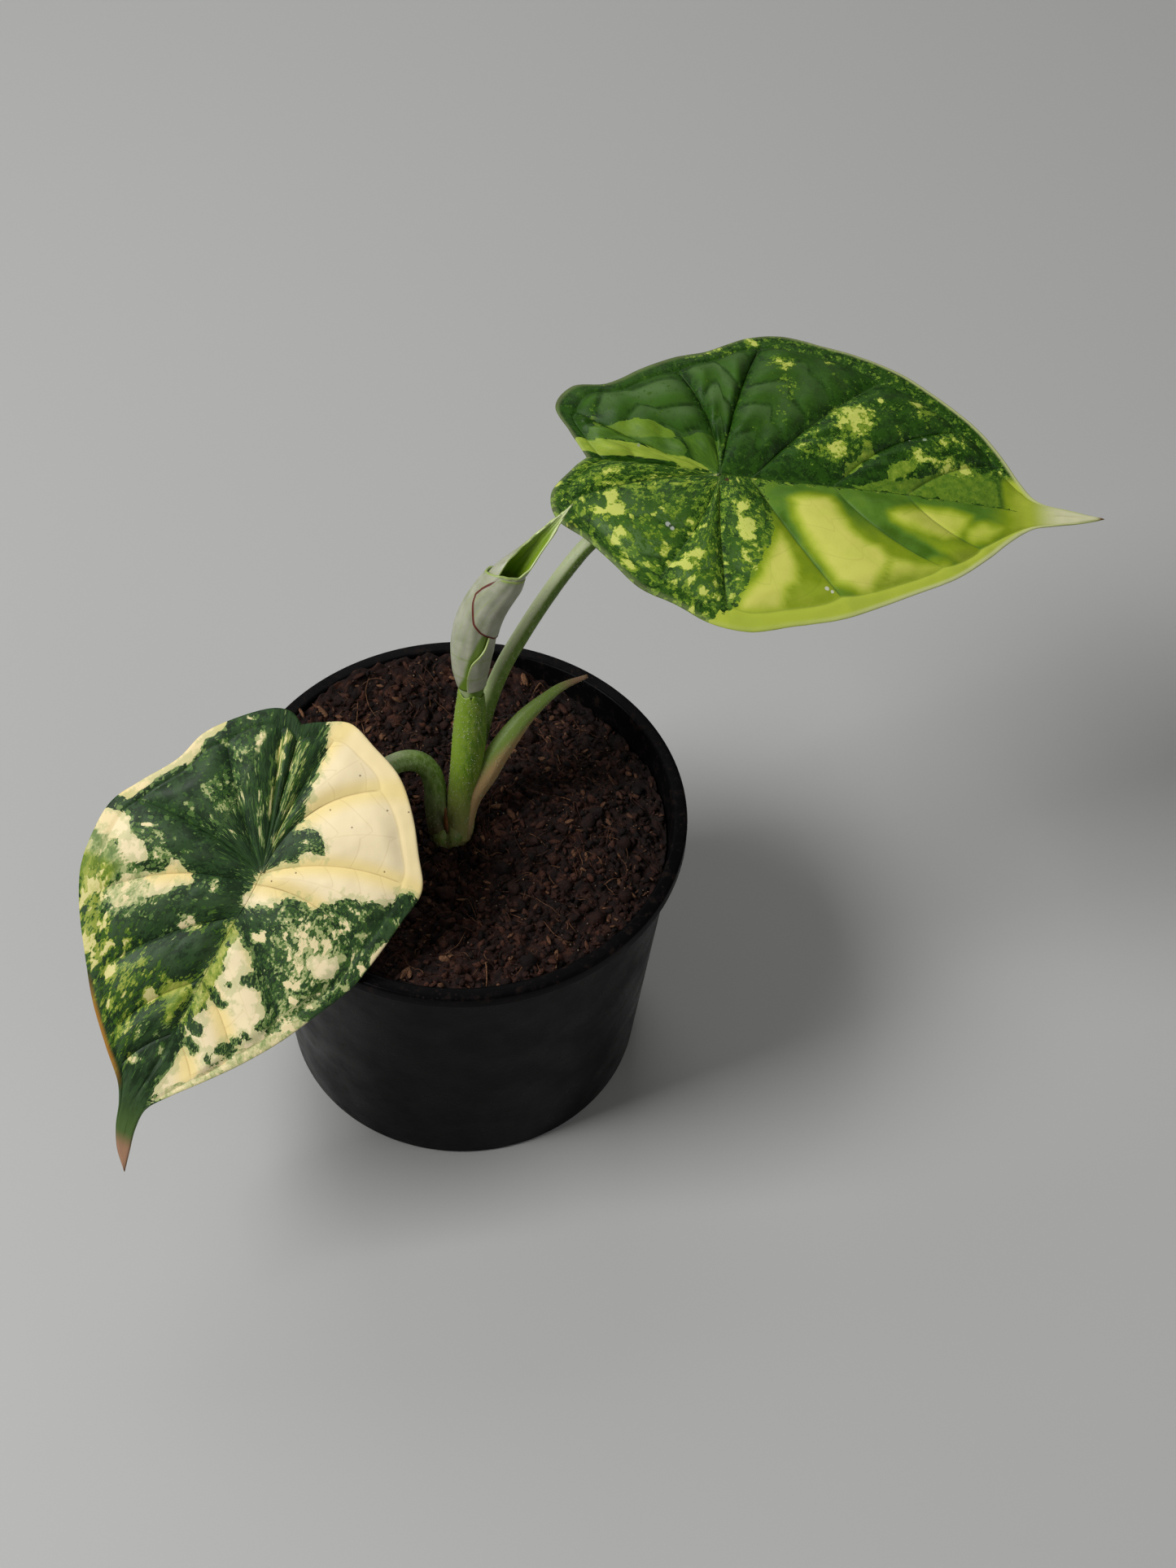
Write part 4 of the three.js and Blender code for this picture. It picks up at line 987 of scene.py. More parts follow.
draw = np.random.default_rng(SCURF_SEED)
grain_places = np.concatenate([grains_on(piece, count, draw) for piece, count in SCURF_GRAINS])
grain_sizes = (0.07 + 0.11 * draw.random((len(grain_places), 1)) ** 2) * [1, 1, 1]
stalk_scurf = add_mesh("stalk_scurf", *scattered(OCTAHEDRON, grain_places, grain_sizes, 1.5, 0.2, draw))
scurf_skin, tree, shader, _ = new_finish("scurf_grain_skin")
wire(shader, Base_Color=mix(stored(tree, "tone"), SCURF_GREEN, SCURF_PALE), Roughness=0.7)
settle(stalk_scurf, scurf_skin, None)

# The right leaf's blade: a leathery heart, quilted between its sunken veins like scales. Its back half is
# deep green with lime patches, and its front half mottled by the stalk and plain lime to the tip.
BLADE_TOP = 0.3
BLADE_UNDER = 0.3
MARGIN_ROUND = 0.8
MIDRIB_HEIGHT = 1.0
MIDRIB_HALF_WIDTH = 1.1
VEIN_HEIGHT = 0.5
VEIN_HALF_WIDTH = 0.6
GROOVE_HALF_WIDTH = 0.55
RIM_GROOVE_HALF_WIDTH = 0.5
RIM_SHARE = 0.895
FINE_RIPPLE = 2.2
QUILT_HEIGHT = 1.7
QUILT_SLOPE = 0.14
CELL_AT_MARGIN = 19.0
VEIN_STEPS = 28
ACROSS_STEPS = 64
RIGHT_LEAF = {
    "attach": (62.9, 49.9, 172.1), "along": (0.998, 0.031, -0.06), "up": (0, -0.2, 1),
    "droop": 8, "rear": 3, "fold": 0.2, "curl": 9, "scale": 9.5, "seed": 21,
    "midrib": [(-33.9, 3.2), (-17, 1.6), (0, 0), (24, -1), (48, -1.2), (70, -1.8), (84, -2.1), (93, -1.1), (101, 0)],
    "halves": [
        {"relief": 1.2, "groove": 0.4, "soft": 0.0, "margin": [
            (-33.9, 3.2), (-38.4, 10.5), (-42.3, 18), (-38, 24.5), (-29, 25.8), (-20, 31.5), (-11.5, 36),
            (-3, 39), (7, 45), (17, 47.2), (27, 44.8), (37, 42), (48, 37), (58.7, 28.8), (67, 21.5),
            (73, 14.2), (78.5, 6), (83.5, 1.7), (92, 0.8), (101, 0)],
         "veins": [(0, 0, 0), (0, 2.2, 0.03), (0, 5.7, -0.08), (0, 8.6, 0.04), (8, 12, 0.03), (29, 14.2, 0.11),
                   (48, 15.4, 0.1), (101, 19, 0)]},
        {"relief": 0.3, "groove": 0.22, "soft": 0.5, "margin": [
            (-33.9, 3.2), (-37.5, -0.3), (-42.5, -8), (-41, -16), (-34, -21.5), (-27, -28), (-20, -34.5),
            (-11, -38.3), (-2, -42.6), (8, -44), (18, -42), (30, -39.3), (39, -35.7), (50, -30.4),
            (60, -25.2), (68, -18.8), (75, -12), (81, -7.2), (88, -4.6), (95, -2.4), (101, 0)],
         "veins": [(0, 0, 0), (0, 2.6, 0.06), (0, 6.2, -0.06), (0, 8.5, 0.03), (8, 11.5, 0.04), (29, 14.2, 0.09),
                   (48, 15.3, 0.09), (101, 20, 0)]},
    ],
}


def spline_at(points, share):
    """Points of a smooth curve through flat points, at shares of the count of its spans: each span is a
    cubic whose slopes are half the way between the neighbours of its ends."""
    p = np.asarray(points, float)
    p0, p1, p2, p3, w = spans(p, p[0], p[-1], share)
    return cubic(p1, (p2 - p0) / 2, p2, (p3 - p1) / 2, w)


def ripple(x, y, size, seed):
    """Smooth noise between -1 and 1: random numbers on a square net of the given size, blended between."""
    net = np.random.default_rng(seed).uniform(-1, 1, (NET, NET))
    u, w = x / size + 20.3, y / size + 17.7
    i, j = np.floor(u).astype(int), np.floor(w).astype(int)
    f, g = u - i, w - j
    f, g = f * f * (3 - 2 * f), g * g * (3 - 2 * g)
    at = lambda di, dj: net[(i + di) % NET, (j + dj) % NET]
    return (at(0, 0) * (1 - f) + at(1, 0) * f) * (1 - g) + (at(0, 1) * (1 - f) + at(1, 1) * f) * g


def leaf_axes(leaf):
    """The blade's own axes: along its midrib, across to its left side, and out of its upper face."""
    along = unit(np.array(leaf["along"], float))
    up = np.array(leaf["up"], float)
    up = unit(up - along * (up @ along))
    return along, np.cross(up, along), up


def leaf_place(leaf, a, b, lift):
    """A point of the flat outline put in space: the midrib droops towards the tip and the rear lobes, each
    half rises from the midrib in a shallow fold, and its outer part curls down again."""
    along, across, up = leaf_axes(leaf)
    drop = np.where(a > 0, leaf["droop"] * (a / 100) ** 2, leaf["rear"] * (a / 50) ** 2)
    height = leaf["fold"] * (np.hypot(b, 3) - 3) - drop - leaf["curl"] * (b / 40) ** 2 + lift
    return np.array(leaf["attach"]) + a[..., None] * along + b[..., None] * across + height[..., None] * up


def half_blade(leaf, half, side):
    """One half of a blade on a grid: x goes across the strips between its veins and v from the midrib to
    the margin. Between two veins the blade rises in a pillow, and beside each vein stands a file of rounded
    scales, each steeper towards the midrib. Values go with each point."""
    margin, veins = half["margin"], np.array(half["veins"], float)
    seed = leaf["seed"] + (7 if side < 0 else 0)
    rib = spline_at(leaf["midrib"], np.linspace(0, 1, 2000))
    eased = lambda s: 0.5 - 0.5 * np.cos(np.pi * s)
    v = np.linspace(0, 1, ACROSS_STEPS + 1)
    v = 0.45 * eased(v) + 0.55 * v
    strips = []
    for k in range(len(veins) - 1):
        last = k + 2 == len(veins)
        x = np.linspace(0, 1, (2 if last else 1) * VEIN_STEPS + 1)
        x = (0.5 * x + 0.5 * eased(x))[:, None]
        off_middle = np.abs(2 * x - 1)
        start, end, bow = (veins[k] + (veins[k + 1] - veins[k]) * x).T
        root = np.stack([start, np.where(start > 0, np.interp(start, *rib.T), 0)], -1)
        chord = spline_at(margin, end / (len(margin) - 1)) - root
        push = (4 * v * (1 - v) * bow[:, None])[..., None]
        turned_chord = np.stack([-chord[:, 1], chord[:, 0]], -1)
        flat = root[:, None] + v[:, None] * chord[:, None] + side * push * turned_chord[:, None]
        a, b = flat[..., 0], flat[..., 1]
        to_tip = a / margin[-1][0]
        length = np.linalg.norm(chord, axis=1)[:, None]
        strip = np.linalg.norm(np.gradient(flat, axis=0), axis=-1).sum(0)[None, :]
        to_vein = np.minimum(x, 1 - x if not last else 1.0 + 0 * x) * strip + 0 * a
        past_rim = (v - (RIM_SHARE - 0.03 * off_middle ** 3)) * length

        cell = veins[k + 1, 0] - veins[k, 0] + (CELL_AT_MARGIN - veins[k + 1, 0] + veins[k, 0]) * v
        fade = (0.6 * (1 - x) if last else 1.0) * (1 - smooth(0.66, 0.82, to_tip))
        wide = fade * ((1 - half["soft"]) * (1 - off_middle ** 2.2) + half["soft"] * np.sin(np.pi * x) ** 1.7)
        lift = np.minimum(QUILT_HEIGHT, QUILT_SLOPE * cell) * wide * smooth(0, 0.16, v) * (1 - smooth(0.78, 0.92, v))

        phase = v * length / leaf["scale"] + 0.5 * smooth(0.44, 0.56, x) - 0.5 * (1 - off_middle ** 1.4)
        phase = phase + 0.22 * ripple(a, b, 9, seed) + 0.37 * k
        steep = np.sin(np.pi * np.mod(phase, 1) ** 0.65) ** 1.4
        beside = np.exp(-((off_middle - 0.56) / 0.28) ** 2) * (1 - 0.7 * smooth(5, 55, a))
        inner = smooth(0.1, 0.25, v) * (1 - smooth(-2.5, -0.3, past_rim)) * np.minimum(1, strip / 12)
        scales = half["relief"] * inner * steep * beside

        groove = half["groove"] * (1 - smooth(0.7, 0.85, to_tip)) * np.exp(-(to_vein / GROOVE_HALF_WIDTH) ** 2)
        groove = groove * smooth(0.02, 0.1, v) * (1 - smooth(0.8, 0.97, v))
        rim_groove = 0.7 * half["groove"] * np.exp(-(past_rim / RIM_GROOVE_HALF_WIDTH) ** 2)
        rim_groove = rim_groove * smooth(0, 0.4, 1.2 - off_middle)
        outer = 0.22 * smooth(0, 1.5, past_rim)
        bumpy = 0.08 * ripple(a, b, FINE_RIPPLE, seed + 1)
        height = lift * 0.9 + scales - groove - rim_groove + outer + bumpy
        strips.append({
            "grid": leaf_place(leaf, a, b, height), "flat": np.stack([a, b, 0 * a], -1), "vein": to_vein,
            "rib": np.abs(b - np.interp(a, *rib.T)), "strip": k + x + 0 * a, "out": v * length + 0 * a,
            "past": past_rim, "edge": (1 - v) * length + 0 * a, "phase": phase, "v": v + 0 * a,
            "mid": np.abs(x - 0.5) * strip + 0 * a,
        })
    return {title: np.concatenate([strip[title][:-1] for strip in strips[:-1]] + [strips[-1][title]])
            for title in strips[0]}


def blade_sheet(leaf):
    """Both halves joined along the midrib and given a wall that thins to a round margin, with ribs under the
    midrib and the veins."""
    first, second = (half_blade(leaf, half, side) for half, side in zip(leaf["halves"], (1, -1)))
    both = {title: [first[title][::-1], second[title]] for title in first}
    points, faces, values = join_grids(both.pop("grid"), **both)
    corner = points[faces]
    facing_up = np.cross(corner[:, 1] - corner[:, 0], corner[:, 2] - corner[:, 0]).sum(0) @ leaf_axes(leaf)[2]
    if facing_up < 0:
        faces = faces[:, ::-1]
    taper = np.sqrt(np.clip(1 - (1 - np.clip(values["edge"] / MARGIN_ROUND, 0, 1)) ** 2, 0.05, 1))
    along_leaf = values["flat"][:, 0]
    off_rib = np.where(along_leaf > 0, values["rib"], 99)
    under_rib = MIDRIB_HEIGHT * np.exp(-(off_rib / MIDRIB_HALF_WIDTH) ** 2) * np.clip((95 - along_leaf) / 95, 0, 1)
    under_vein = VEIN_HEIGHT * np.exp(-(values["vein"] / VEIN_HALF_WIDTH) ** 2)
    under_vein = under_vein * (1 - smooth(0.5, 0.95, values["v"]))
    below = (BLADE_UNDER + np.maximum(under_rib, under_vein)) * taper
    return thick_sheet(points, faces, values, BLADE_TOP * taper, below)


right_points, right_faces, right_values = blade_sheet(RIGHT_LEAF)
a, b, _ = right_values["flat"].T

# Where the right blade's layers lack green: closed outlines in millimetres along and across it, each with
# how pale it is, and smaller marks, each (along, across, radius along, radius across, share of pale cells).
# The midline parts its green far side from its lime near side.
LIME_FRONT = [(10.7, -2.5), (13.2, -13.2), (12.7, -19.3), (10.1, -25.3), (7.1, -30), (4.2, -37.6), (-3, -42),
              (-6, -50), (110, -50), (110, -0.3), (84, -2.1), (48, -1.3), (24, -1.1)]
TIP_PALE = (1.0, [(76, -4), (75, 5), (86, 4), (110, 4), (110, -4)])
RIGHT_MIDLINE = [(-40, 3.7), (0, 0), (24, -1), (48, -1.2), (70, -1.8), (84, -2.1), (101, 0)]
RIGHT_PATCHES = [
    TIP_PALE,
    (0.62, [(-37, 8.6), (-29.4, 7.5), (-22.8, 7), (-13.9, 5.4), (-6.8, 3.4), (-2, 1.2), (-2.8, 0.6), (-9.5, 1.8),
            (-18.3, 3), (-27, 3.6), (-37, 5)]),
    (0.28, [(-33.5, 10.9), (-26.3, 10.1), (-20.5, 9.3), (-13.5, 8.9), (-11, 8.9), (-8.7, 5.6), (-9.5, 4.1),
            (-18.4, 6.4), (-27.2, 7.6), (-34, 8.5)]),
    (0.27, [(-10.1, 9.5), (-6.1, 10.8), (-3, 10.7), (-1.2, 9.6), (0.3, 6.7), (-0.2, 3.8), (-1.5, 0.9), (-7.7, 4.2)]),
    (0.44, [(-33, 12.7), (-28, 12.3), (-26, 13.6), (-22.9, 13.9), (-16.5, 13.1), (-12.1, 11), (-11.6, 9),
            (-13.5, 8.7), (-20.5, 9.2), (-26.3, 10), (-32.4, 10.9)]),
    (0.7, [(-25.2, 12.7), (-22.9, 13.6), (-18, 12.9), (-17, 11), (-22, 10.1)]),
    (0.4, [(31, 0), (38, 1), (43, 2.2), (49.5, 3.8), (54, 4.4), (57.3, 7), (61, 8), (64, 9.4), (68, 9), (72, 6.5),
            (73, -1.7), (62, -1.4), (48, -0.9), (38, -0.8)]),
    (0.24, [(69, 9), (76, 9), (84, 2), (84, -1.6), (72, -1.7)]),
    (0.5, [(37, 13.2), (39.2, 12.6), (40.2, 9.4), (36, 5.4), (32.4, 1.8), (31, 3.4), (35, 7.7)]),
    (0.5, [(43, 6.4), (48.6, 8.4), (49.8, 6.3), (47.6, 3.6), (42.5, 1.9)]),
    (0.55, [(-34, 0.4), (-31, -2.4), (-25, -3.9), (-19, -4.4), (-10, -3.8), (-4, -2.4), (-4, -3.4), (-10, -5),
            (-19, -5.8), (-26, -5.4), (-32, -3.8)]),
]
# The bright hearts between the front half's veins, where no layer holds green, each with its brightness
LIME_HEARTS = [
    (1.0, [(18.4, -7.1), (22.7, -5.3), (27.5, -5.2), (30.6, -9.7), (32.3, -14.6), (35.7, -16.8), (40.4, -18.7),
           (42.1, -22.1), (41.6, -26.2), (39.2, -29.3), (38.7, -31.6), (33.9, -31.5), (29.2, -29.2), (26.2, -24.9),
           (23.4, -21.1), (20.3, -15.3), (18.6, -11.7)]),
    (1.0, [(3.8, -39.1), (5.3, -35.6), (9.3, -30.4), (14.5, -17.1), (16.8, -20.5), (18.7, -26.8), (19.2, -31.2),
           (16.1, -33.7), (15.7, -38)]),
    (0.65, [(20.3, -34.9), (27.6, -33.7), (28.7, -35.2), (19.9, -37.9)]),
    (0.88, [(43.5, -8.1), (50.1, -5.5), (58.8, -5.3), (64.2, -6.5), (62.9, -10), (59.9, -13.6), (56.1, -14.8),
            (51.8, -14.1), (47.6, -12.1), (44.4, -10.6)]),
    (0.8, [(62.9, -9.3), (68.5, -7.8), (72.8, -8.4), (69.2, -12.9), (64.8, -14.6), (62.7, -12.6)]),
    (0.85, [(41.4, -21.5), (45.1, -21.7), (51.5, -22.1), (58, -21.3), (53.6, -24.8), (46.1, -27.4), (41.3, -29.8),
            (41.9, -25.6)]),
]
RIGHT_MARKS = [
    (16, 35, 3, 3.3, 0.8), (17, 29, 3, 4, 0.55), (17, 24, 2, 2.4, 0.45), (15, 18, 1.6, 3, 0.4),
    (-28, -2, 2.6, 1.4, 0.85), (-14, -2, 2.6, 0.9, 0.65), (8, 43.4, 2.4, 1.6, 0.85), (-1, 38.5, 2.6, 1.3, 0.8),
    (-7, 36.5, 3.4, 1, 0.6), (18, 43, 2, 1.4, 0.4), (-33, 14, 1.4, 1.8, 0.5), (34, 18, 6, 7, 0.9),
    (29, 9, 6, 4, 0.75), (21, 9, 4.6, 2.6, 0.6), (24, 13, 4, 4, 0.4), (38, 17, 1.4, 2.2, 0.85),
    (41, 26, 1.3, 1.5, 0.95), (33, 24.5, 1.3, 1.2, 0.7), (44, 23, 4, 2, 0.4), (51, 26, 3, 2, 0.85),
    (53, 23, 4, 3, 0.65), (46, 16, 1.2, 1.3, 0.6), (59, 15, 7, 4, 0.55), (52, 9, 4.5, 3.4, 0.85),
    (30, 32, 1.8, 1.5, 0.5), (29, 38, 1.2, 1.6, 0.6), (62, 8, 7.5, 2.6, 0.9), (36, 22, 1.8, 1.4, 0.85),
    (66, 16, 4, 2, 0.35), (74, 8, 5, 2, 0.5), (45, 33, 14, 2, 0.25), (-22, -16, 1.8, 1, 0.9), (-25, -21, 3, 1.5, 1),
    (-26, -25, 1.4, 1.3, 0.9), (-22, -29, 3.4, 1.9, 0.75), (-19, -21, 2.6, 1, 0.65), (-14, -24, 2.3, 1.6, 0.8),
    (-8, -15, 1.4, 2.2, 0.9), (-5, -17, 1.6, 2.2, 0.65), (6, -25, 2.8, 1.6, 0.8), (1, -25, 1.6, 1, 0.6),
    (1, -27, 1, 1, 0.7), (-2, -35, 2.1, 1.5, 0.8), (-7, -39, 1.4, 1, 1), (-17, -33, 2.1, 1, 0.65),
    (-40, -5, 1, 1.3, 0.95), (-33, -5, 1, 1, 0.7), (-41, -8, 1, 1, 0.7), (-30, -22, 2, 1.6, 0.6),
    (-15, -28, 2.4, 2, 0.5), (-10, -32, 2.8, 2, 0.5), (9, -16, 1.4, 3.2, 0.5), (-6, -28, 4, 2.6, 0.55),
    (-26, -12, 6, 5, 0.35), (-18, -18, 9, 9, 0.3), (-36, -14, 4, 5, 0.25), (4, -18, 4, 10, 0.25),
    (-4, -31, 7, 6, 0.25), (-27.4, -8.5, 2.1, 3.4, 1.2), (-26.6, -13.5, 3.4, 3.2, 1.3), (-31, -14, 3.6, 1.9, 1.15),
    (-6.5, -25.2, 3.2, 2.2, 1.25), (-10.5, -28.3, 3.2, 2, 1.2), (5.4, -11.5, 1.5, 3.8, 1.15),
    (6.2, -16.5, 2.3, 3.4, 1.3), (6.4, -20.3, 2, 2.4, 1.1), (-7.2, -32.6, 1.5, 1.7, 1), (-4.9, -35, 1.6, 1.1, 1),
]


def patchwork(patches, a, b):
    """For each point, how far inside the nearest outline it lies, and how pale that outline's patch is."""
    depths = np.array([inside(outline, a, b) for _, outline in patches])
    return depths.max(0), np.array([pale for pale, _ in patches])[depths.argmax(0)]


def roughened(a, b, seed):
    """Places shifted by smooth noise of two sizes, so that outlines read through them are ragged."""
    return (a + 1.3 * ripple(a, b, 3.4, seed) + 0.7 * ripple(a, b, 1.7, seed + 1),
            b + 1.3 * ripple(a, b, 3.4, seed + 2) + 0.7 * ripple(a, b, 1.7, seed + 3))


def marked(marks, a, b):
    """The strongest of soft round marks at each point."""
    return np.max([s * np.exp(-((a - u) / ru) ** 2 - ((b - w) / rw) ** 2) for u, w, ru, rw, s in marks], 0)


far_side = b > np.interp(a, *np.array(RIGHT_MIDLINE).T)
rough_a, rough_b = roughened(a, b, 71)
smoother = np.maximum(smooth(2, -3, a) * smooth(16, 13, b) * smooth(0.5, 2, b),
                      0.6 * far_side * smooth(28, 36, a) * smooth(9, 5, b))
patch, shade = patchwork(RIGHT_PATCHES, a + (rough_a - a) * (1 - smoother), b + (rough_b - b) * (1 - 0.8 * smoother))
lime_depth = np.where(far_side, -9.0, inside(LIME_FRONT, a, b))
shade = np.where(lime_depth > patch, 1.0, shade)
patch = np.maximum(patch, lime_depth)
flecks = np.maximum(marked(RIGHT_MARKS, rough_a, rough_b), np.where(far_side, 0.05, 0.4))
flecks = np.maximum(flecks, 0.3 * (far_side & (right_values["past"] > 0) & (a > 0)))
# A darker band beside each front vein, towards the tip: partly darker green there and partly painted shade on the
# steep side of the fold
vein_side_shade = smooth(0.42, 0.2, np.mod(right_values["strip"], 1)) * smooth(7, 14, right_values["rib"])
glow = 0.12 + 0.3 * smooth(6, 17, right_values["rib"]) + 0.12 * smooth(-8, -2, right_values["past"]) - 0.36 * vein_side_shade
for bright, outline in LIME_HEARTS:
    depth = inside(outline, a + 0.4 * (rough_a - a), b + 0.4 * (rough_b - b))
    glow = np.maximum(glow, bright * smooth(-3.6, 2.6, depth))
glow = np.maximum(glow, 0.7 * smooth(66, 80, a))
radial = (a < 2) & (smoother > 0.5)
flat_side = far_side & ~radial
plot = np.stack([np.where(flat_side, a, np.where(radial, 0.35, 0.85) * right_values["out"]),
                 np.where(flat_side, b, 16 * right_values["strip"]), 50.0 * far_side + 30 * radial], -1)
plain = np.maximum(smooth(-2.5, -1.5, lime_depth), smooth(-3, -1, inside(TIP_PALE[1], a, b)))
right_values.update(glow=glow, plot=plot, ragged=1 - 0.75 * smoother, patch=patch, shade=shade, flecks=flecks,
                    plain=plain)
right_blade = add_mesh("right_leaf_quilted_blade", right_points, right_faces, right_values)

# The variegation of both blades: the leaf's cell layers carry green or not, each in its own pattern of
# clones, so where more layers are pale the colour is paler. An outlined patch has its own paleness.
variegation, given = new_group("variegation", "Plot", Patch=-9.0, Shade=1.0, Flecks=0.0, Ragged=1.0, Fringe=0.0)


def clone_layer(place, cell_size, cloud_size, seed, detail=2.0):
    """One layer's pattern between 0 and 1: small cells that each take the value of a broad noise at their
    heart, so that clones of them have blocky edges. Also gives a random number for each cell."""
    shifted = made(place.tree, "ShaderNodeVectorMath", 0, {0: place, 1: (seed, seed, seed)}, operation="ADD")
    cells = put(place.tree, "ShaderNodeTexVoronoi", {"Vector": shifted, "Scale": 1 / cell_size})
    value = noise(Signal(cells.outputs["Position"]), 1 / cloud_size, detail, 0.55)
    chance = made(place.tree, "ShaderNodeSeparateColor", 0, {"Color": Signal(cells.outputs["Color"])})
    return ramp(value, 0.32, 0.68, kind="LINEAR"), chance


def over(value, density, width=0.05):
    """1 where a value between 0 and 1 lies in the top share given by the density."""
    return ramp(value - (1.0 - density), -width, width)


coarse, coarse_cell = clone_layer(given["Plot"], 0.7, 2.6, 0.0, 3.0)
medium, medium_cell = clone_layer(given["Plot"], 0.45, 1.5, 31.0)
fine, fine_cell = clone_layer(given["Plot"], 0.28, 0.8, 57.0)
spice = fine * 0.6 + fine_cell * 0.4
few = ramp(given["Flecks"], 0.28, 1.0, 0.0, 0.92, kind="LINEAR")
some = ramp(given["Flecks"], 0.04, 0.9, 0.0, 0.96, kind="LINEAR")
many = ramp(given["Flecks"], 0.0, 0.9, 0.1, 0.9, kind="LINEAR")
layers = over(coarse, few) * 0.46 + (over(medium, some) * 0.32 + over(spice, many) * 0.22)
teeth = (noise(given["Plot"], 0.36, 1, 0.5) - 0.5) * 3.4
rag = given["Ragged"] * (teeth + ((coarse_cell - 0.5) * 0.9 + (fine_cell - 0.5) * 0.12))
patch_mask = ramp(given["Patch"] + rag, -0.1, 0.1)
mottle = medium * 0.6 + spice * 0.4
uneven = (mottle - 0.5) * (given["Ragged"] * ramp(given["Shade"], 1.0, 0.75, 0.0, 0.6))
shaded = patch_mask * (given["Shade"] + uneven)
fringe = ramp(given["Patch"] + (medium_cell * 2.6 + teeth * 0.6), 0.9, 1.0)
give(variegation, Pale=layers | (shaded | fringe * given["Fringe"]), Patch=patch_mask,
     Tone=coarse * 0.7 + medium_cell * 0.3)

# The net of veins, for both blades: thin lines over the sunken veins, the line inside the margin, and the
# fainter lines round each scale, with two masks of painted light on each scale: a sheen on its crest and a lit green
# on its steep side.
vein_net, given = new_group("vein_net", None, Vein=9.0, Past=9.0, Phase=0.0, Mid=9.0)
past, part = given["Past"], given["Phase"].maths("FRACT")
main_line = ramp(given["Vein"], 0.42, 0.12) * ramp(past, 0.3, -1.5)
rim_line = ramp(abs(past), 0.4, 0.1) * 0.4
scale_line = ramp(abs(part - 0.5), 0.46, 0.495) * ramp(past, -0.2, -1.0)
middle_line = ramp(given["Mid"], 0.3, 0.08) * (ramp(past, 0.0, -1.0) * 0.6)
within = ramp(past, 0.0, -1.5, 0.2, 1.0)
# Painted light: where each scale's sheen and its lit green lie
crest = ramp(part, 0.25, 0.7, 0.15, 1.0) * ramp(part, 1.0, 0.84, 0.1, 1.0)
dome = ramp(part, 0.0, 0.12) * ramp(part, 0.75, 0.35)
give(vein_net, Main=main_line | rim_line, Fine=scale_line | middle_line, Crest=crest * within, Dome=dome * within)

RIGHT_GREEN = (0.008, 0.032, 0.002, 1)
RIGHT_MID_GREEN = (0.02, 0.07, 0.004, 1)
# The next two colours are painted light: the lit green on each scale's steep side and the sheen on its crest
RIGHT_DOME_LIT = (0.046, 0.13, 0.01, 1)
RIGHT_CREST_SHEEN = (0.085, 0.165, 0.042, 1)
RIGHT_CLONES = [(0.0, (0.02, 0.05, 0.006)), (0.2, (0.04, 0.1, 0.01)), (0.3, (0.07, 0.16, 0.012)),
                (0.5, (0.165, 0.27, 0.02)), (0.72, (0.36, 0.45, 0.05)), (1.0, (0.58, 0.63, 0.13))]
LIME_GLOW = [(0.0, (0.05, 0.12, 0.003)), (0.12, (0.085, 0.19, 0.016)), (0.45, (0.25, 0.35, 0.012)),
             (0.75, (0.47, 0.55, 0.055)), (1.0, (0.67, 0.67, 0.13))]
LIME_MARGIN = (0.47, 0.55, 0.06, 1)
TIP_CREAM = (0.74, 0.73, 0.45, 1)
RIGHT_VEIN = (0.07, 0.12, 0.04, 1)
RIGHT_NET = (0.06, 0.12, 0.015, 1)
RIGHT_EDGE = (0.6, 0.64, 0.28, 1)
RIGHT_TIP = (0.2, 0.05, 0.03, 1)
RIGHT_UNDER_PALE = (0.45, 0.5, 0.16, 1)
RIGHT_SPECKS = [(1.6, -1.6, 0.9, (0.06, 0.03, 0.012, 1)), (-13.4, -17.2, 0.7, (0.45, 0.48, 0.42, 1)),
                (-12.3, -18.2, 0.6, (0.5, 0.52, 0.46, 1)), (-12.8, -17.6, 0.35, (0.03, 0.05, 0.02, 1)),
                (26.5, -31.6, 0.7, (0.75, 0.76, 0.62, 1)), (28, -32.2, 0.45, (0.75, 0.76, 0.62, 1)),
                (52.8, 14.8, 0.45, (0.3, 0.36, 0.25, 1)), (49, 14.4, 0.35, (0.3, 0.36, 0.25, 1)),
                (-21, 6.2, 0.3, (0.3, 0.34, 0.2, 1))]
UNDER_GREEN = (0.14, 0.2, 0.09, 1)


def blade_base(name, fringe=0.0):
    """A blade's material with its shared patterns set up from the values on the mesh. Gives the material, its
    shader, the place on the flat leaf, a reader of the values, and the outputs of the net and the marks."""
    material, tree, shader, _ = new_finish(name)
    value = lambda title: stored(tree, title)
    net = grouped(tree, vein_net, **{title: value(title.lower()) for title in ("Vein", "Past", "Phase", "Mid")})
    marks = grouped(tree, variegation, Plot=stored(tree, "plot", "Vector"), Fringe=fringe,
                    **{title: value(title.lower()) for title in ("Patch", "Shade", "Flecks", "Ragged")})
    return material, shader, stored(tree, "flat", "Vector"), value, net, marks


def gap_to(place, spot):
    """How far a place on the flat leaf lies from a spot on it."""
    return made(place.tree, "ShaderNodeVectorMath", "Value", {0: place, 1: (*spot, 0)}, operation="DISTANCE")


def leathery(shader, flat, colour, roughness, gloss):
    """Feeds a blade's skin, with a fine grain."""
    wire(shader, Base_Color=colour, Roughness=roughness, Specular_IOR_Level=gloss,
         Normal=bump(noise(flat, 2.2, 4, 0.6), 0.12, 0.0004))


right_skin, shader, flat, value, net, marks = blade_base("right_blade_skin")
along_leaf, pale = coordinate(flat, "X"), marks["Pale"]
cloud = noise(flat, 0.12, 4, 0.6)
green = mix(ramp(marks["Tone"], 0.35, 0.6), RIGHT_GREEN, RIGHT_MID_GREEN)
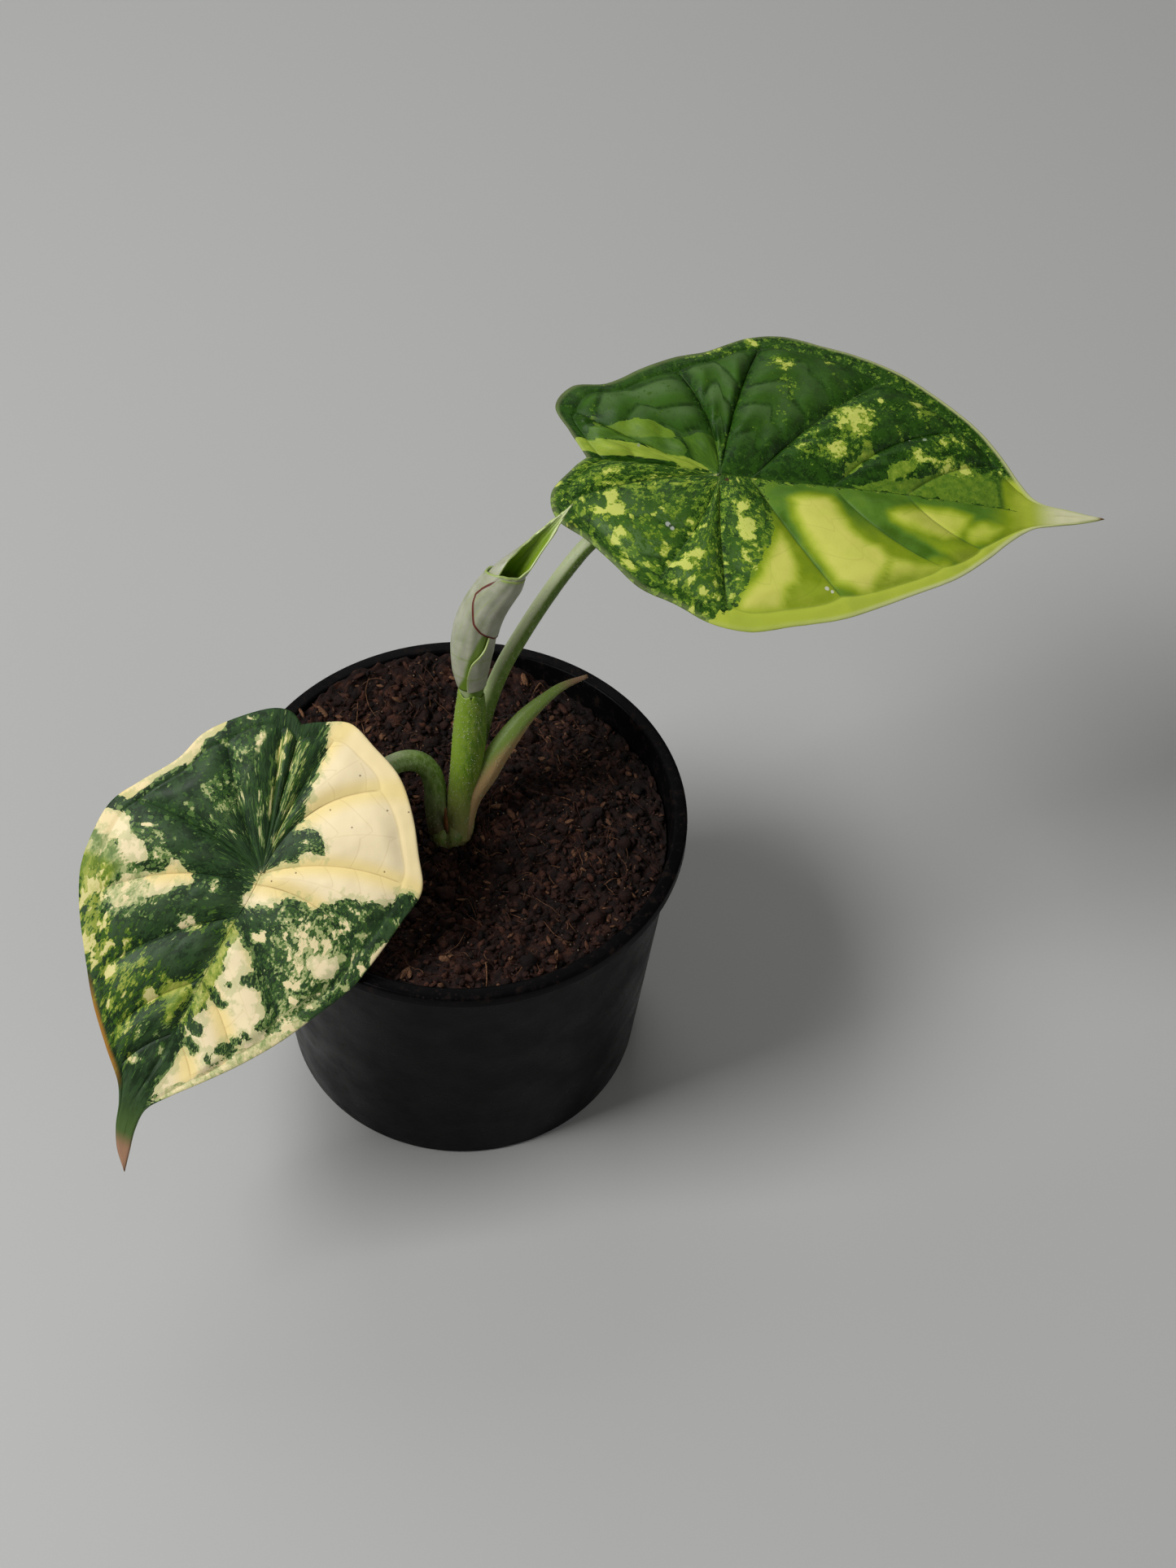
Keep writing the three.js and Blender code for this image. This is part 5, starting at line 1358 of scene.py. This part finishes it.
# Painted light on the back half's scales, a lit green and a grey sheen, weaker near the veins, the midrib and towards
# the tip
lobes = ramp(value("vein"), 0.5, 4.5) * ramp(along_leaf, 45, -15, 0.15, 1.0) * ramp(value("rib"), 4, 24, 0.1, 1.0)
green_with_sheen = mix(lobes * net["Crest"], mix(lobes * net["Dome"], green, RIGHT_DOME_LIT), RIGHT_CREST_SHEEN)
cloned = mix(ramp(pale, 0.05, 0.2), green_with_sheen, shades(pale, RIGHT_CLONES))
glowing = value("glow") + ramp(cloud, 0.3, 0.7, -0.06, 0.06)
lime = mix(ramp(value("past"), -0.6, 0.6, 0.0, 0.85), shades(glowing, LIME_GLOW), LIME_MARGIN)
tipped = mix(ramp(along_leaf, 80, 90), lime, TIP_CREAM)
veined = mix(net["Main"] * 0.4, mix(marks["Patch"] * value("plain"), cloned, tipped), RIGHT_VEIN)
netted = mix(net["Fine"] * 0.1, veined, RIGHT_NET)
top = mix(ramp(value("edge"), 1.7, 0.5) * ramp(along_leaf, 5, 60, 0.15, 1.0), netted, RIGHT_EDGE)
for u, w, radius, colour in RIGHT_SPECKS:
    gap = gap_to(flat, (u, w)) + ramp(cloud, 0.3, 0.7, -0.3, 0.3)
    top = mix(ramp(gap, radius, 0.6 * radius, 0.0, 0.85), top, colour)
top = mix(ramp(along_leaf, 98.5, 100.5), top, RIGHT_TIP)
under = mix(marks["Patch"], UNDER_GREEN, RIGHT_UNDER_PALE)
leathery(shader, flat, mix(value("under"), top, under), ramp(cloud, 0.3, 0.7, 0.4, 0.52), 0.14)
settle(right_blade, right_skin, "right_leaf_blade")

# The left leaf's blade: the same leathery heart hanging over the rim. A whole sector of it has no green at
# all and is cream, and the rest is deep green shredded with cream and lime.
LEFT_LEAF = {
    "attach": (-47.8, -34.9, 108.3), "along": (-0.385, -0.71, -0.59), "up": (-0.06, -0.6, 0.8),
    "droop": 6, "rear": 3, "fold": 0.15, "curl": 6, "scale": 8.0, "seed": 51,
    "midrib": [(-38.3, -7.2), (-19, -4.1), (0, 0), (25, -2), (46, -2.9), (58, -4.2), (66, -5.2), (73, -4.4),
               (79, -2.5), (84, 0)],
    "halves": [
        {"relief": 0.12, "groove": 0.12, "soft": 0.6, "margin": [
            (-38.3, -7.2), (-41, -2.8), (-43.7, 4), (-41, 12), (-37, 21), (-30, 28), (-21.5, 33.8),
            (-13.5, 38.5), (-4, 37.2), (6, 35.5), (16, 33), (26, 28), (36, 22.6), (45.5, 16), (54, 9),
            (61.5, 2.4), (67, -1.6), (73, -2), (79, -0.9), (84, 0)],
         "veins": [(0, 0, 0), (0, 1.9, 0.04), (0, 4.4, 0.17), (0, 7.05, 0.1), (3, 9.6, 0.16), (12.5, 11.9, 0.03),
                   (31, 13.2, 0.06), (46, 14.3, 0.06), (84, 19, 0)]},
        {"relief": 0.2, "groove": 0.25, "soft": 0.3, "margin": [
            (-38.3, -7.2), (-40.1, -11), (-38.6, -16), (-32.5, -23), (-25.5, -28.7), (-17, -31.8), (-8, -38),
            (0, -42.8), (9, -43.8), (18.5, -42.8), (28, -38.5), (38, -32), (48, -25), (57, -17),
            (63, -11.3), (68, -8.6), (74, -6.8), (79.5, -4), (84, 0)],
         "veins": [(0, 0, 0), (0, 1.5, 0.02), (0, 3.3, -0.03), (0, 6.7, 0.06), (3, 9.8, 0.1), (12.5, 11.5, 0.07),
                   (31, 12.8, 0.08), (46, 13.7, 0.08), (84, 18, 0)]},
    ],
}
left_points, left_faces, left_values = blade_sheet(LEFT_LEAF)
a, b, _ = left_values["flat"].T

# The left blade's patches and marks, as on the right blade, and the dark green islands in its cream wedge
LEFT_PATCHES = [
    (1.0, [(-41, -1.7), (-48, 3.7), (-44, 15), (-38, 27), (-26, 36), (-12, 44), (-12, 38), (-11.3, 34.6),
           (-6.7, 32.5), (-4.9, 25.9), (-3.9, 22.3), (-1.8, 19.9), (0.4, 17.7), (2.7, 15.8), (2, 12.4), (3.3, 7.9),
           (4.9, 5.9), (7.5, 3.4), (9.8, 0.5), (8.6, -1.2), (4.5, -1.3), (1.4, -0.5), (-2, 1.8), (-5.2, 3.8),
           (-7.3, 6.7), (-10.4, 8.8), (-11.1, 12.1), (-16, 9.2), (-13.8, 3.6), (-17.2, 3.5), (-21.4, 2.8), (-25.6, 2),
           (-30, 1.6), (-34.1, 0.7), (-37.5, 0.7)]),
    (1.0, [(-32, -25.5), (-28.9, -24.7), (-24.5, -27.2), (-19.5, -28.2), (-10, -35), (-2.5, -39.3), (-3, -46),
           (-25, -38), (-34, -28)]),
    (1.0, [(3.7, -45), (0, -40), (1.6, -38.4), (2.9, -35.4), (5.7, -34.5), (5.9, -30.1), (8.5, -27), (11.1, -30),
           (11.3, -32.7), (9.4, -35.6), (7.9, -37.3), (8.3, -45)]),
    (0.45, [(8.3, -46), (7.9, -37.3), (9.4, -35.6), (11.3, -32.7), (11.1, -30), (14.6, -33), (18.2, -34.7),
            (20.2, -37), (21.6, -46)]),
    (1.0, [(6, -20.7), (7.1, -19.2), (7, -16.1), (9.2, -15), (11.9, -17.9), (15.6, -19.8), (17.4, -23.6), (15, -24.3),
           (13.7, -27.3), (11.5, -25.5), (9.7, -22.7), (7.3, -22.4)]),
    (0.62, [(11.3, -26.1), (14.6, -32.1), (16.7, -31.6), (18.9, -33.3), (23.2, -33.7), (23, -29.5), (22.1, -25.6),
            (18.5, -25), (17.4, -23.6)]),
    (0.5, [(34, -10.4), (33.9, -8.2), (31.7, -4.6), (37, -4), (39.9, -5.4), (43.3, -4.8), (44.2, -5.7), (39.5, -8.3),
           (39.2, -9.8), (36.8, -10.5)]),
    (0.56, [(14.5, -1.4), (26, -2.2), (43.5, -2.6), (43.4, -1.1), (36.9, 1), (32.6, 0.8), (28.5, 1.6), (20.8, 0.4),
            (17.1, 1.9)]),
    (1.0, [(16.8, 1.6), (20.8, 0.6), (28.5, 1.8), (32.6, 1), (36.9, 1.2), (43.4, -1), (46, 0.5), (52, 0.4),
           (58.9, -0.6), (65, -1.4), (61, 3.4), (54, 10), (46, 16), (39, 19), (34.4, 18.1), (29.9, 14.8), (25.5, 12),
           (22.7, 8.4), (18.7, 4.8)]),
    (1.0, [(14.7, 19.5), (12.7, 21.5), (11, 25.8), (12.4, 27.5), (14.1, 26.9), (15.9, 28.5), (16.2, 26), (16.8, 23.3),
           (16.4, 21)]),
    (0.95, [(27.3, 30), (33, 29), (46, 19), (46, 13.4), (40.8, 15.5), (37.3, 17.8), (33.7, 20.4), (29.9, 23)]),
    (0.85, [(1.4, 40), (10, 37), (9, 34), (5.3, 34.5), (2.5, 35)]),
]
LEFT_ISLANDS = [(33, 2.1, 2.2), (33.5, 5.1, 1.5), (24.7, 8.8, 1.8), (24.9, 11.7, 1.8), (41.2, 0.4, 2.4),
                (46.7, 1.6, 1.7), (48.2, 8.2, 1.5), (44.2, 10.8, 1.9), (41.5, 12.2, 1.5), (38.7, 13.7, 1.7),
                (28.5, 4.4, 1.1), (33.8, 16.9, 1.5), (20.4, -1, 1)]
LEFT_MARKS = [
    (14, 6, 2, 2.4, 1), (14, 10, 1.3, 1.9, 0.85), (8, 11, 1.7, 2.5, 0.85), (10, 15, 1.2, 1.6, 0.85),
    (11, 17, 1.6, 1.9, 0.8), (6, 17, 1.3, 1.3, 0.85), (2, 24, 2, 3, 0.95), (2, 30, 1.8, 2.2, 0.75),
    (23, 18, 1.5, 1.6, 1), (22, 21, 1.4, 1.6, 1), (25, 22, 2, 2.2, 0.9), (24, 26, 1.9, 1.8, 0.95),
    (32, 22, 2.4, 3, 0.9), (17, 31, 1.4, 1.4, 0.95), (11, 33, 1.6, 1.3, 0.85), (20, 26, 1.4, 1.8, 0.75),
    (14, 18, 2.6, 3, 0.65), (10, 23, 1.4, 1.6, 0.9), (10, 27, 1.2, 1.4, 0.75), (7, 5, 1.3, 1.9, 0.85),
    (6, 8, 1.1, 1.3, 0.85), (-2, 28, 2.4, 4, 0.5), (-3, 36, 2, 2, 0.4), (12, 20, 16, 14, 0.62), (28, 22, 10, 7, 0.62),
    (-30, -15, 1.7, 2, 0.9), (-34, -20, 1, 1.4, 0.85), (-25, -22, 1.8, 1.7, 0.6), (-18, -25, 2.5, 3.2, 0.35),
    (-9, -25, 1.2, 1.4, 0.7), (-11, -17, 2.2, 3, 0.55), (-13, -21, 1, 1, 0.6), (-15, -17, 1.2, 1.4, 0.5),
    (-28, -14, 1, 1.2, 0.8), (2, -30, 1.2, 1.8, 1), (0, -33, 1, 1.2, 0.6), (-4, -36, 1.2, 1.4, 0.6),
    (3, -27, 2, 2.6, 0.65), (2, -19, 1.4, 1.8, 0.5), (6, -25, 2.4, 3, 0.6), (-7, -11, 1, 1.2, 0.6),
    (-11, 7, 1.2, 1.6, 0.75), (-14, -16, 13, 9, 0.36), (-28, -18, 8, 7, 0.4), (8, -10, 1.8, 3, 0.6),
    (18, -10, 1.7, 3.4, 0.8), (21, -12, 1.5, 2.6, 0.75), (33, -28, 2.4, 2.8, 0.95), (30, -23, 1.7, 2.3, 0.75),
    (33, -18, 2.1, 3.5, 0.7), (39, -25, 3, 2.8, 0.9), (34, -12, 1.7, 2.6, 0.65), (40, -12, 2.7, 3.2, 1),
    (44, -19, 3.3, 3.3, 0.55), (50, -12, 1.7, 1.6, 0.65), (48, -7, 1.1, 1.4, 0.65), (51, -5, 1, 1, 0.75),
    (56, -9, 1.6, 2.6, 0.85), (24, -39, 2.4, 2.1, 0.6), (17, -17, 1.9, 2.6, 0.45), (22, -22, 1.6, 2.6, 0.5),
    (24, -27, 2.2, 2.8, 0.65), (5, -30, 1.6, 1.9, 0.5), (20, -38, 12, 7, 0.7), (32, -33, 12, 7, 0.68),
    (42, -20, 15, 9, 0.52), (20, -28, 9, 7, 0.6), (50, -16, 8, 6, 0.48), (10, -34, 9, 8, 0.55),
]
STREAKS = [
    [(-35.5, -10.5), (-35, -8), (-28.4, -6.9), (-22.5, -6.2), (-16.4, -4.9), (-13, -4), (-16.4, -6.5), (-22.5, -8.2),
     (-28.6, -9.5)],
    [(-35.5, -6), (-34, -2.4), (-28, -0.9), (-21.8, 0), (-14.7, 1), (-7.5, 1.4), (-2.5, 0.4), (-7.5, -0.3),
     (-14.7, -1.5), (-22, -3.3), (-28, -4.8)],
    [(-20, -10.5), (-19, -8.8), (-13.5, -5.7), (-8.3, -3.1), (-2.5, -0.8), (-8.3, -4.4), (-13.5, -7.2)],
]
LIME_CAST = [
    (0.9, [(12, -3), (44, -3), (46, -12), (60, -10), (60, -40), (14, -46), (14, -34), (26, -34), (26, -12),
           (12, -6)]),
    (0.85, [(13, -2), (44, -3), (44, -1), (37, 1.5), (28, 2), (20, 1), (16, 2)]),
    (0.6, STREAKS[0]), (0.45, STREAKS[1]),
]
rough_a, rough_b = roughened(a, b, 81)
patch, shade = patchwork(LEFT_PATCHES, a + 0.5 * (rough_a - a), b + 0.5 * (rough_b - b))
for u, w, radius in LEFT_ISLANDS:
    patch = np.minimum(patch, np.hypot(rough_a - u, (rough_b - w) * 0.8) - radius)
shade = np.where((a > 22) & (b > -1) & (left_values["past"] > -0.7 + 1.2 * ripple(a, b, 2.4, 90)), 0.66, shade)
flecks = np.maximum(marked(LEFT_MARKS, rough_a, rough_b), 0.1)
streak_depth, streak = patchwork(list(zip((0.62, 0.48, 0.5), STREAKS)), a, rough_b)
flecks = np.maximum(flecks, streak * smooth(-1.2, 0.8, streak_depth))
radial = (b < 3) & (b > -14) & (a < 0)
cream_side = b > np.interp(a, *np.array(LEFT_LEAF["midrib"]).T)
band = cream_side & (a > 22) & (left_values["past"] > -1.5)
stretch = np.where(radial, 0.3, np.where(cream_side, 0.8, 0.62))
widen = np.where(cream_side, 14, np.where(radial, 20, 11))
plot = np.stack([np.where(band, 0.7 * a, stretch * left_values["out"]),
                 np.where(band, 0.7 * b, widen * left_values["strip"]), 50.0 * cream_side], -1)
cast_depth, cast = patchwork(LIME_CAST, a, b)
left_values.update(plot=plot, ragged=0.85 + 0 * a, patch=patch, shade=shade,
                   flecks=flecks * (1 - smooth(62, 68, a)), yellow=cast * smooth(-1.5, 1, cast_depth),
                   plain=smooth(0.9, 1.0, shade) * smooth(-0.3, 0.3, patch + 1))
left_blade = add_mesh("left_leaf_quilted_blade", left_points, left_faces, left_values)

LEFT_DARK = (0.012, 0.03, 0.01, 1)
LEFT_MID_GREEN = (0.028, 0.066, 0.02, 1)
# The next colour is a painted sheen on the green between the veins
LEFT_SHEEN = (0.07, 0.12, 0.05, 1)
LEFT_CREAM = (0.92, 0.74, 0.33, 1)
LEFT_PINK = (0.95, 0.8, 0.5, 1)
LEFT_WASH = (0.45, 0.5, 0.21, 1)
LEFT_ORANGE = (0.36, 0.17, 0.025, 1)
SPECK_BROWN = (0.09, 0.045, 0.02, 1)
LEFT_VEIN_DARK = (0.02, 0.035, 0.02, 1)
LEFT_VEIN_PALE = (0.5, 0.34, 0.12, 1)
LEFT_TIP_GREEN = (0.075, 0.13, 0.035, 1)
LEFT_TIP = (0.36, 0.2, 0.12, 1)
LEFT_UNDER_PALE = (0.6, 0.52, 0.3, 1)
CREAM_SPECKS = [(-20.5, 16), (-28, 22), (-30, 27), (0.5, 3.2), (-4, 8), (-14, 28), (-33, 12), (-22, 9)]
CREAM_CLONES = [(0.0, (0.02, 0.045, 0.013)), (0.2, (0.045, 0.105, 0.02)), (0.32, (0.09, 0.17, 0.04)),
                (0.46, (0.27, 0.35, 0.12)), (0.62, (0.56, 0.55, 0.26)), (0.8, (0.88, 0.74, 0.42))]
LIME_CLONES = [(0.0, (0.02, 0.045, 0.01)), (0.2, (0.04, 0.1, 0.01)), (0.32, (0.08, 0.16, 0.015)),
               (0.46, (0.2, 0.28, 0.02)), (0.64, (0.4, 0.44, 0.06)), (0.85, (0.7, 0.64, 0.25))]
left_skin, shader, flat, value, net, marks = blade_base("left_blade_skin", 0.38)
along_leaf, vein, pale = coordinate(flat, "X"), value("vein"), marks["Pale"]
cloud = noise(flat, 0.13, 4, 0.6)
green = mix(ramp(marks["Tone"], 0.35, 0.6), LEFT_DARK, LEFT_MID_GREEN)
# Painted sheen: soft clouds of grey-green on the pillows, away from the veins
green_with_sheen = mix(ramp(vein, 0.6, 5.5) * ramp(cloud, 0.4, 0.7, 0.05, 0.4), green, LEFT_SHEEN)
clones = mix(value("yellow"), shades(pale, CREAM_CLONES), shades(pale, LIME_CLONES))
cloned = mix(ramp(pale, 0.05, 0.2), green_with_sheen, clones)
cream = mix(ramp(vein, 0.8, 5.0), LEFT_CREAM, LEFT_PINK)
rimmed = mix(ramp(value("past"), -0.5, 0.5, 0.0, 0.45), cream, LEFT_CREAM)
depth = value("patch") + ramp(noise(flat, 0.4, 3, 0.6), 0.3, 0.7, -1.4, 1.4)
washed = mix(ramp(depth, 1.9, 0.4, 0.0, 0.5), rimmed, LEFT_WASH)
line_colour = mix(ramp(pale, 0.5, 0.9), LEFT_VEIN_DARK, LEFT_VEIN_PALE)
veined = mix(net["Main"] * 0.45, mix(marks["Patch"] * value("plain"), cloned, washed), line_colour)
netted = mix(net["Fine"] * 0.18, veined, line_colour)
sunned = ramp(value("edge"), 1.7, 0.3) * (ramp(along_leaf, 40, 50) * ramp(along_leaf, 66, 58))
top = mix(sunned * ramp(coordinate(flat, "Y"), 0, -5), netted, LEFT_ORANGE)
for speck in CREAM_SPECKS:
    top = mix(ramp(gap_to(flat, speck), 0.32, 0.12, 0.0, 0.8), top, SPECK_BROWN)
top = mix(ramp(along_leaf, 74, 79), mix(ramp(along_leaf, 64, 74), top, LEFT_TIP_GREEN), LEFT_TIP)
under = mix(marks["Patch"], UNDER_GREEN, LEFT_UNDER_PALE)
leathery(shader, flat, mix(value("under"), top, under), ramp(cloud, 0.3, 0.7, 0.4, 0.54), 0.15)
settle(left_blade, left_skin, "left_leaf_blade")

# The studio: a plain pale floor, soft light from large panels, and the camera above the front of the pot.
FOCAL_PIXELS = 3200
PHOTO_HEIGHT = 1927
CAMERA_FAR = 689.4
CAMERA_ELEVATION = np.radians(51.6)
CAMERA_ROLL = np.radians(2.7)
CAMERA_SLIDE = (-155.7, 32.7)
FLOOR_GREY = (0.5, 0.5, 0.49, 1)
FLOOR_REACH = 1600
FLOOR_TURNS, FLOOR_RINGS = 96, 4
SENSOR_WIDTH = 36
LAMP_AIM = (0.02, 0.0, 0.12)
AIR_LIGHT = 0.11

floor_turn = np.linspace(0, 2 * np.pi, FLOOR_TURNS + 1)[:, None]
floor_out = np.linspace(0, FLOOR_REACH, FLOOR_RINGS + 1)
floor_points, floor_faces, _ = join_grids([
    np.stack([floor_out * np.cos(floor_turn), floor_out * np.sin(floor_turn), 0 * floor_turn * floor_out], -1)])
floor = add_mesh("studio_floor", floor_points, floor_faces[:, ::-1])
floor_paint, _, shader, _ = new_finish("plain_floor")
wire(shader, Base_Color=FLOOR_GREY, Roughness=0.7)
floor.data.materials.append(floor_paint)


def panel(name, place, size, power):
    """A square soft light, turned to the plant."""
    lamp = bpy.data.lights.new(name, "AREA")
    lamp.size = size
    lamp.energy = power
    lamp_object = bpy.data.objects.new(name, lamp)
    bpy.context.scene.collection.objects.link(lamp_object)
    lamp_object.location = place
    lamp_object.rotation_euler = (Vector(LAMP_AIM) - Vector(place)).to_track_quat("-Z", "Y").to_euler()


panel("key_panel", (-0.85, -0.3, 1.15), 0.6, 17)
panel("back_panel", (-0.2, 1.1, 1.2), 0.8, 4)
panel("right_panel", (1.2, -0.5, 0.8), 0.8, 2)
world = bpy.data.worlds.new("studio_air")
world.use_nodes = True
wire(world.node_tree.nodes["Background"], Color=(1, 1, 1, 1), Strength=AIR_LIGHT)
bpy.context.scene.world = world
bpy.context.scene.view_settings.view_transform = "Standard"

ahead = np.array([0, np.cos(CAMERA_ELEVATION), -np.sin(CAMERA_ELEVATION)])
level_up = np.array([0, np.sin(CAMERA_ELEVATION), np.cos(CAMERA_ELEVATION)])
camera_right = np.cos(CAMERA_ROLL) * np.array([1.0, 0, 0]) + np.sin(CAMERA_ROLL) * level_up
camera_up = np.cos(CAMERA_ROLL) * level_up - np.sin(CAMERA_ROLL) * np.array([1.0, 0, 0])
slide = (CAMERA_SLIDE[1] * camera_up - CAMERA_SLIDE[0] * camera_right) * CAMERA_FAR / FOCAL_PIXELS
eye = np.array([0, 0, POT_HEIGHT]) + slide - CAMERA_FAR * ahead
camera = bpy.data.cameras.new("photo_camera")
camera.sensor_width = SENSOR_WIDTH
camera.lens = SENSOR_WIDTH * FOCAL_PIXELS / PHOTO_HEIGHT
camera.clip_start = 0.01
camera.dof.use_dof = False
camera_object = bpy.data.objects.new("photo_camera", camera)
bpy.context.scene.collection.objects.link(camera_object)
stand = np.eye(4)
stand[:3, :3] = np.stack([camera_right, camera_up, -ahead], 1)
stand[:3, 3] = eye * MM
camera_object.matrix_world = Matrix(stand.tolist())
bpy.context.scene.camera = camera_object
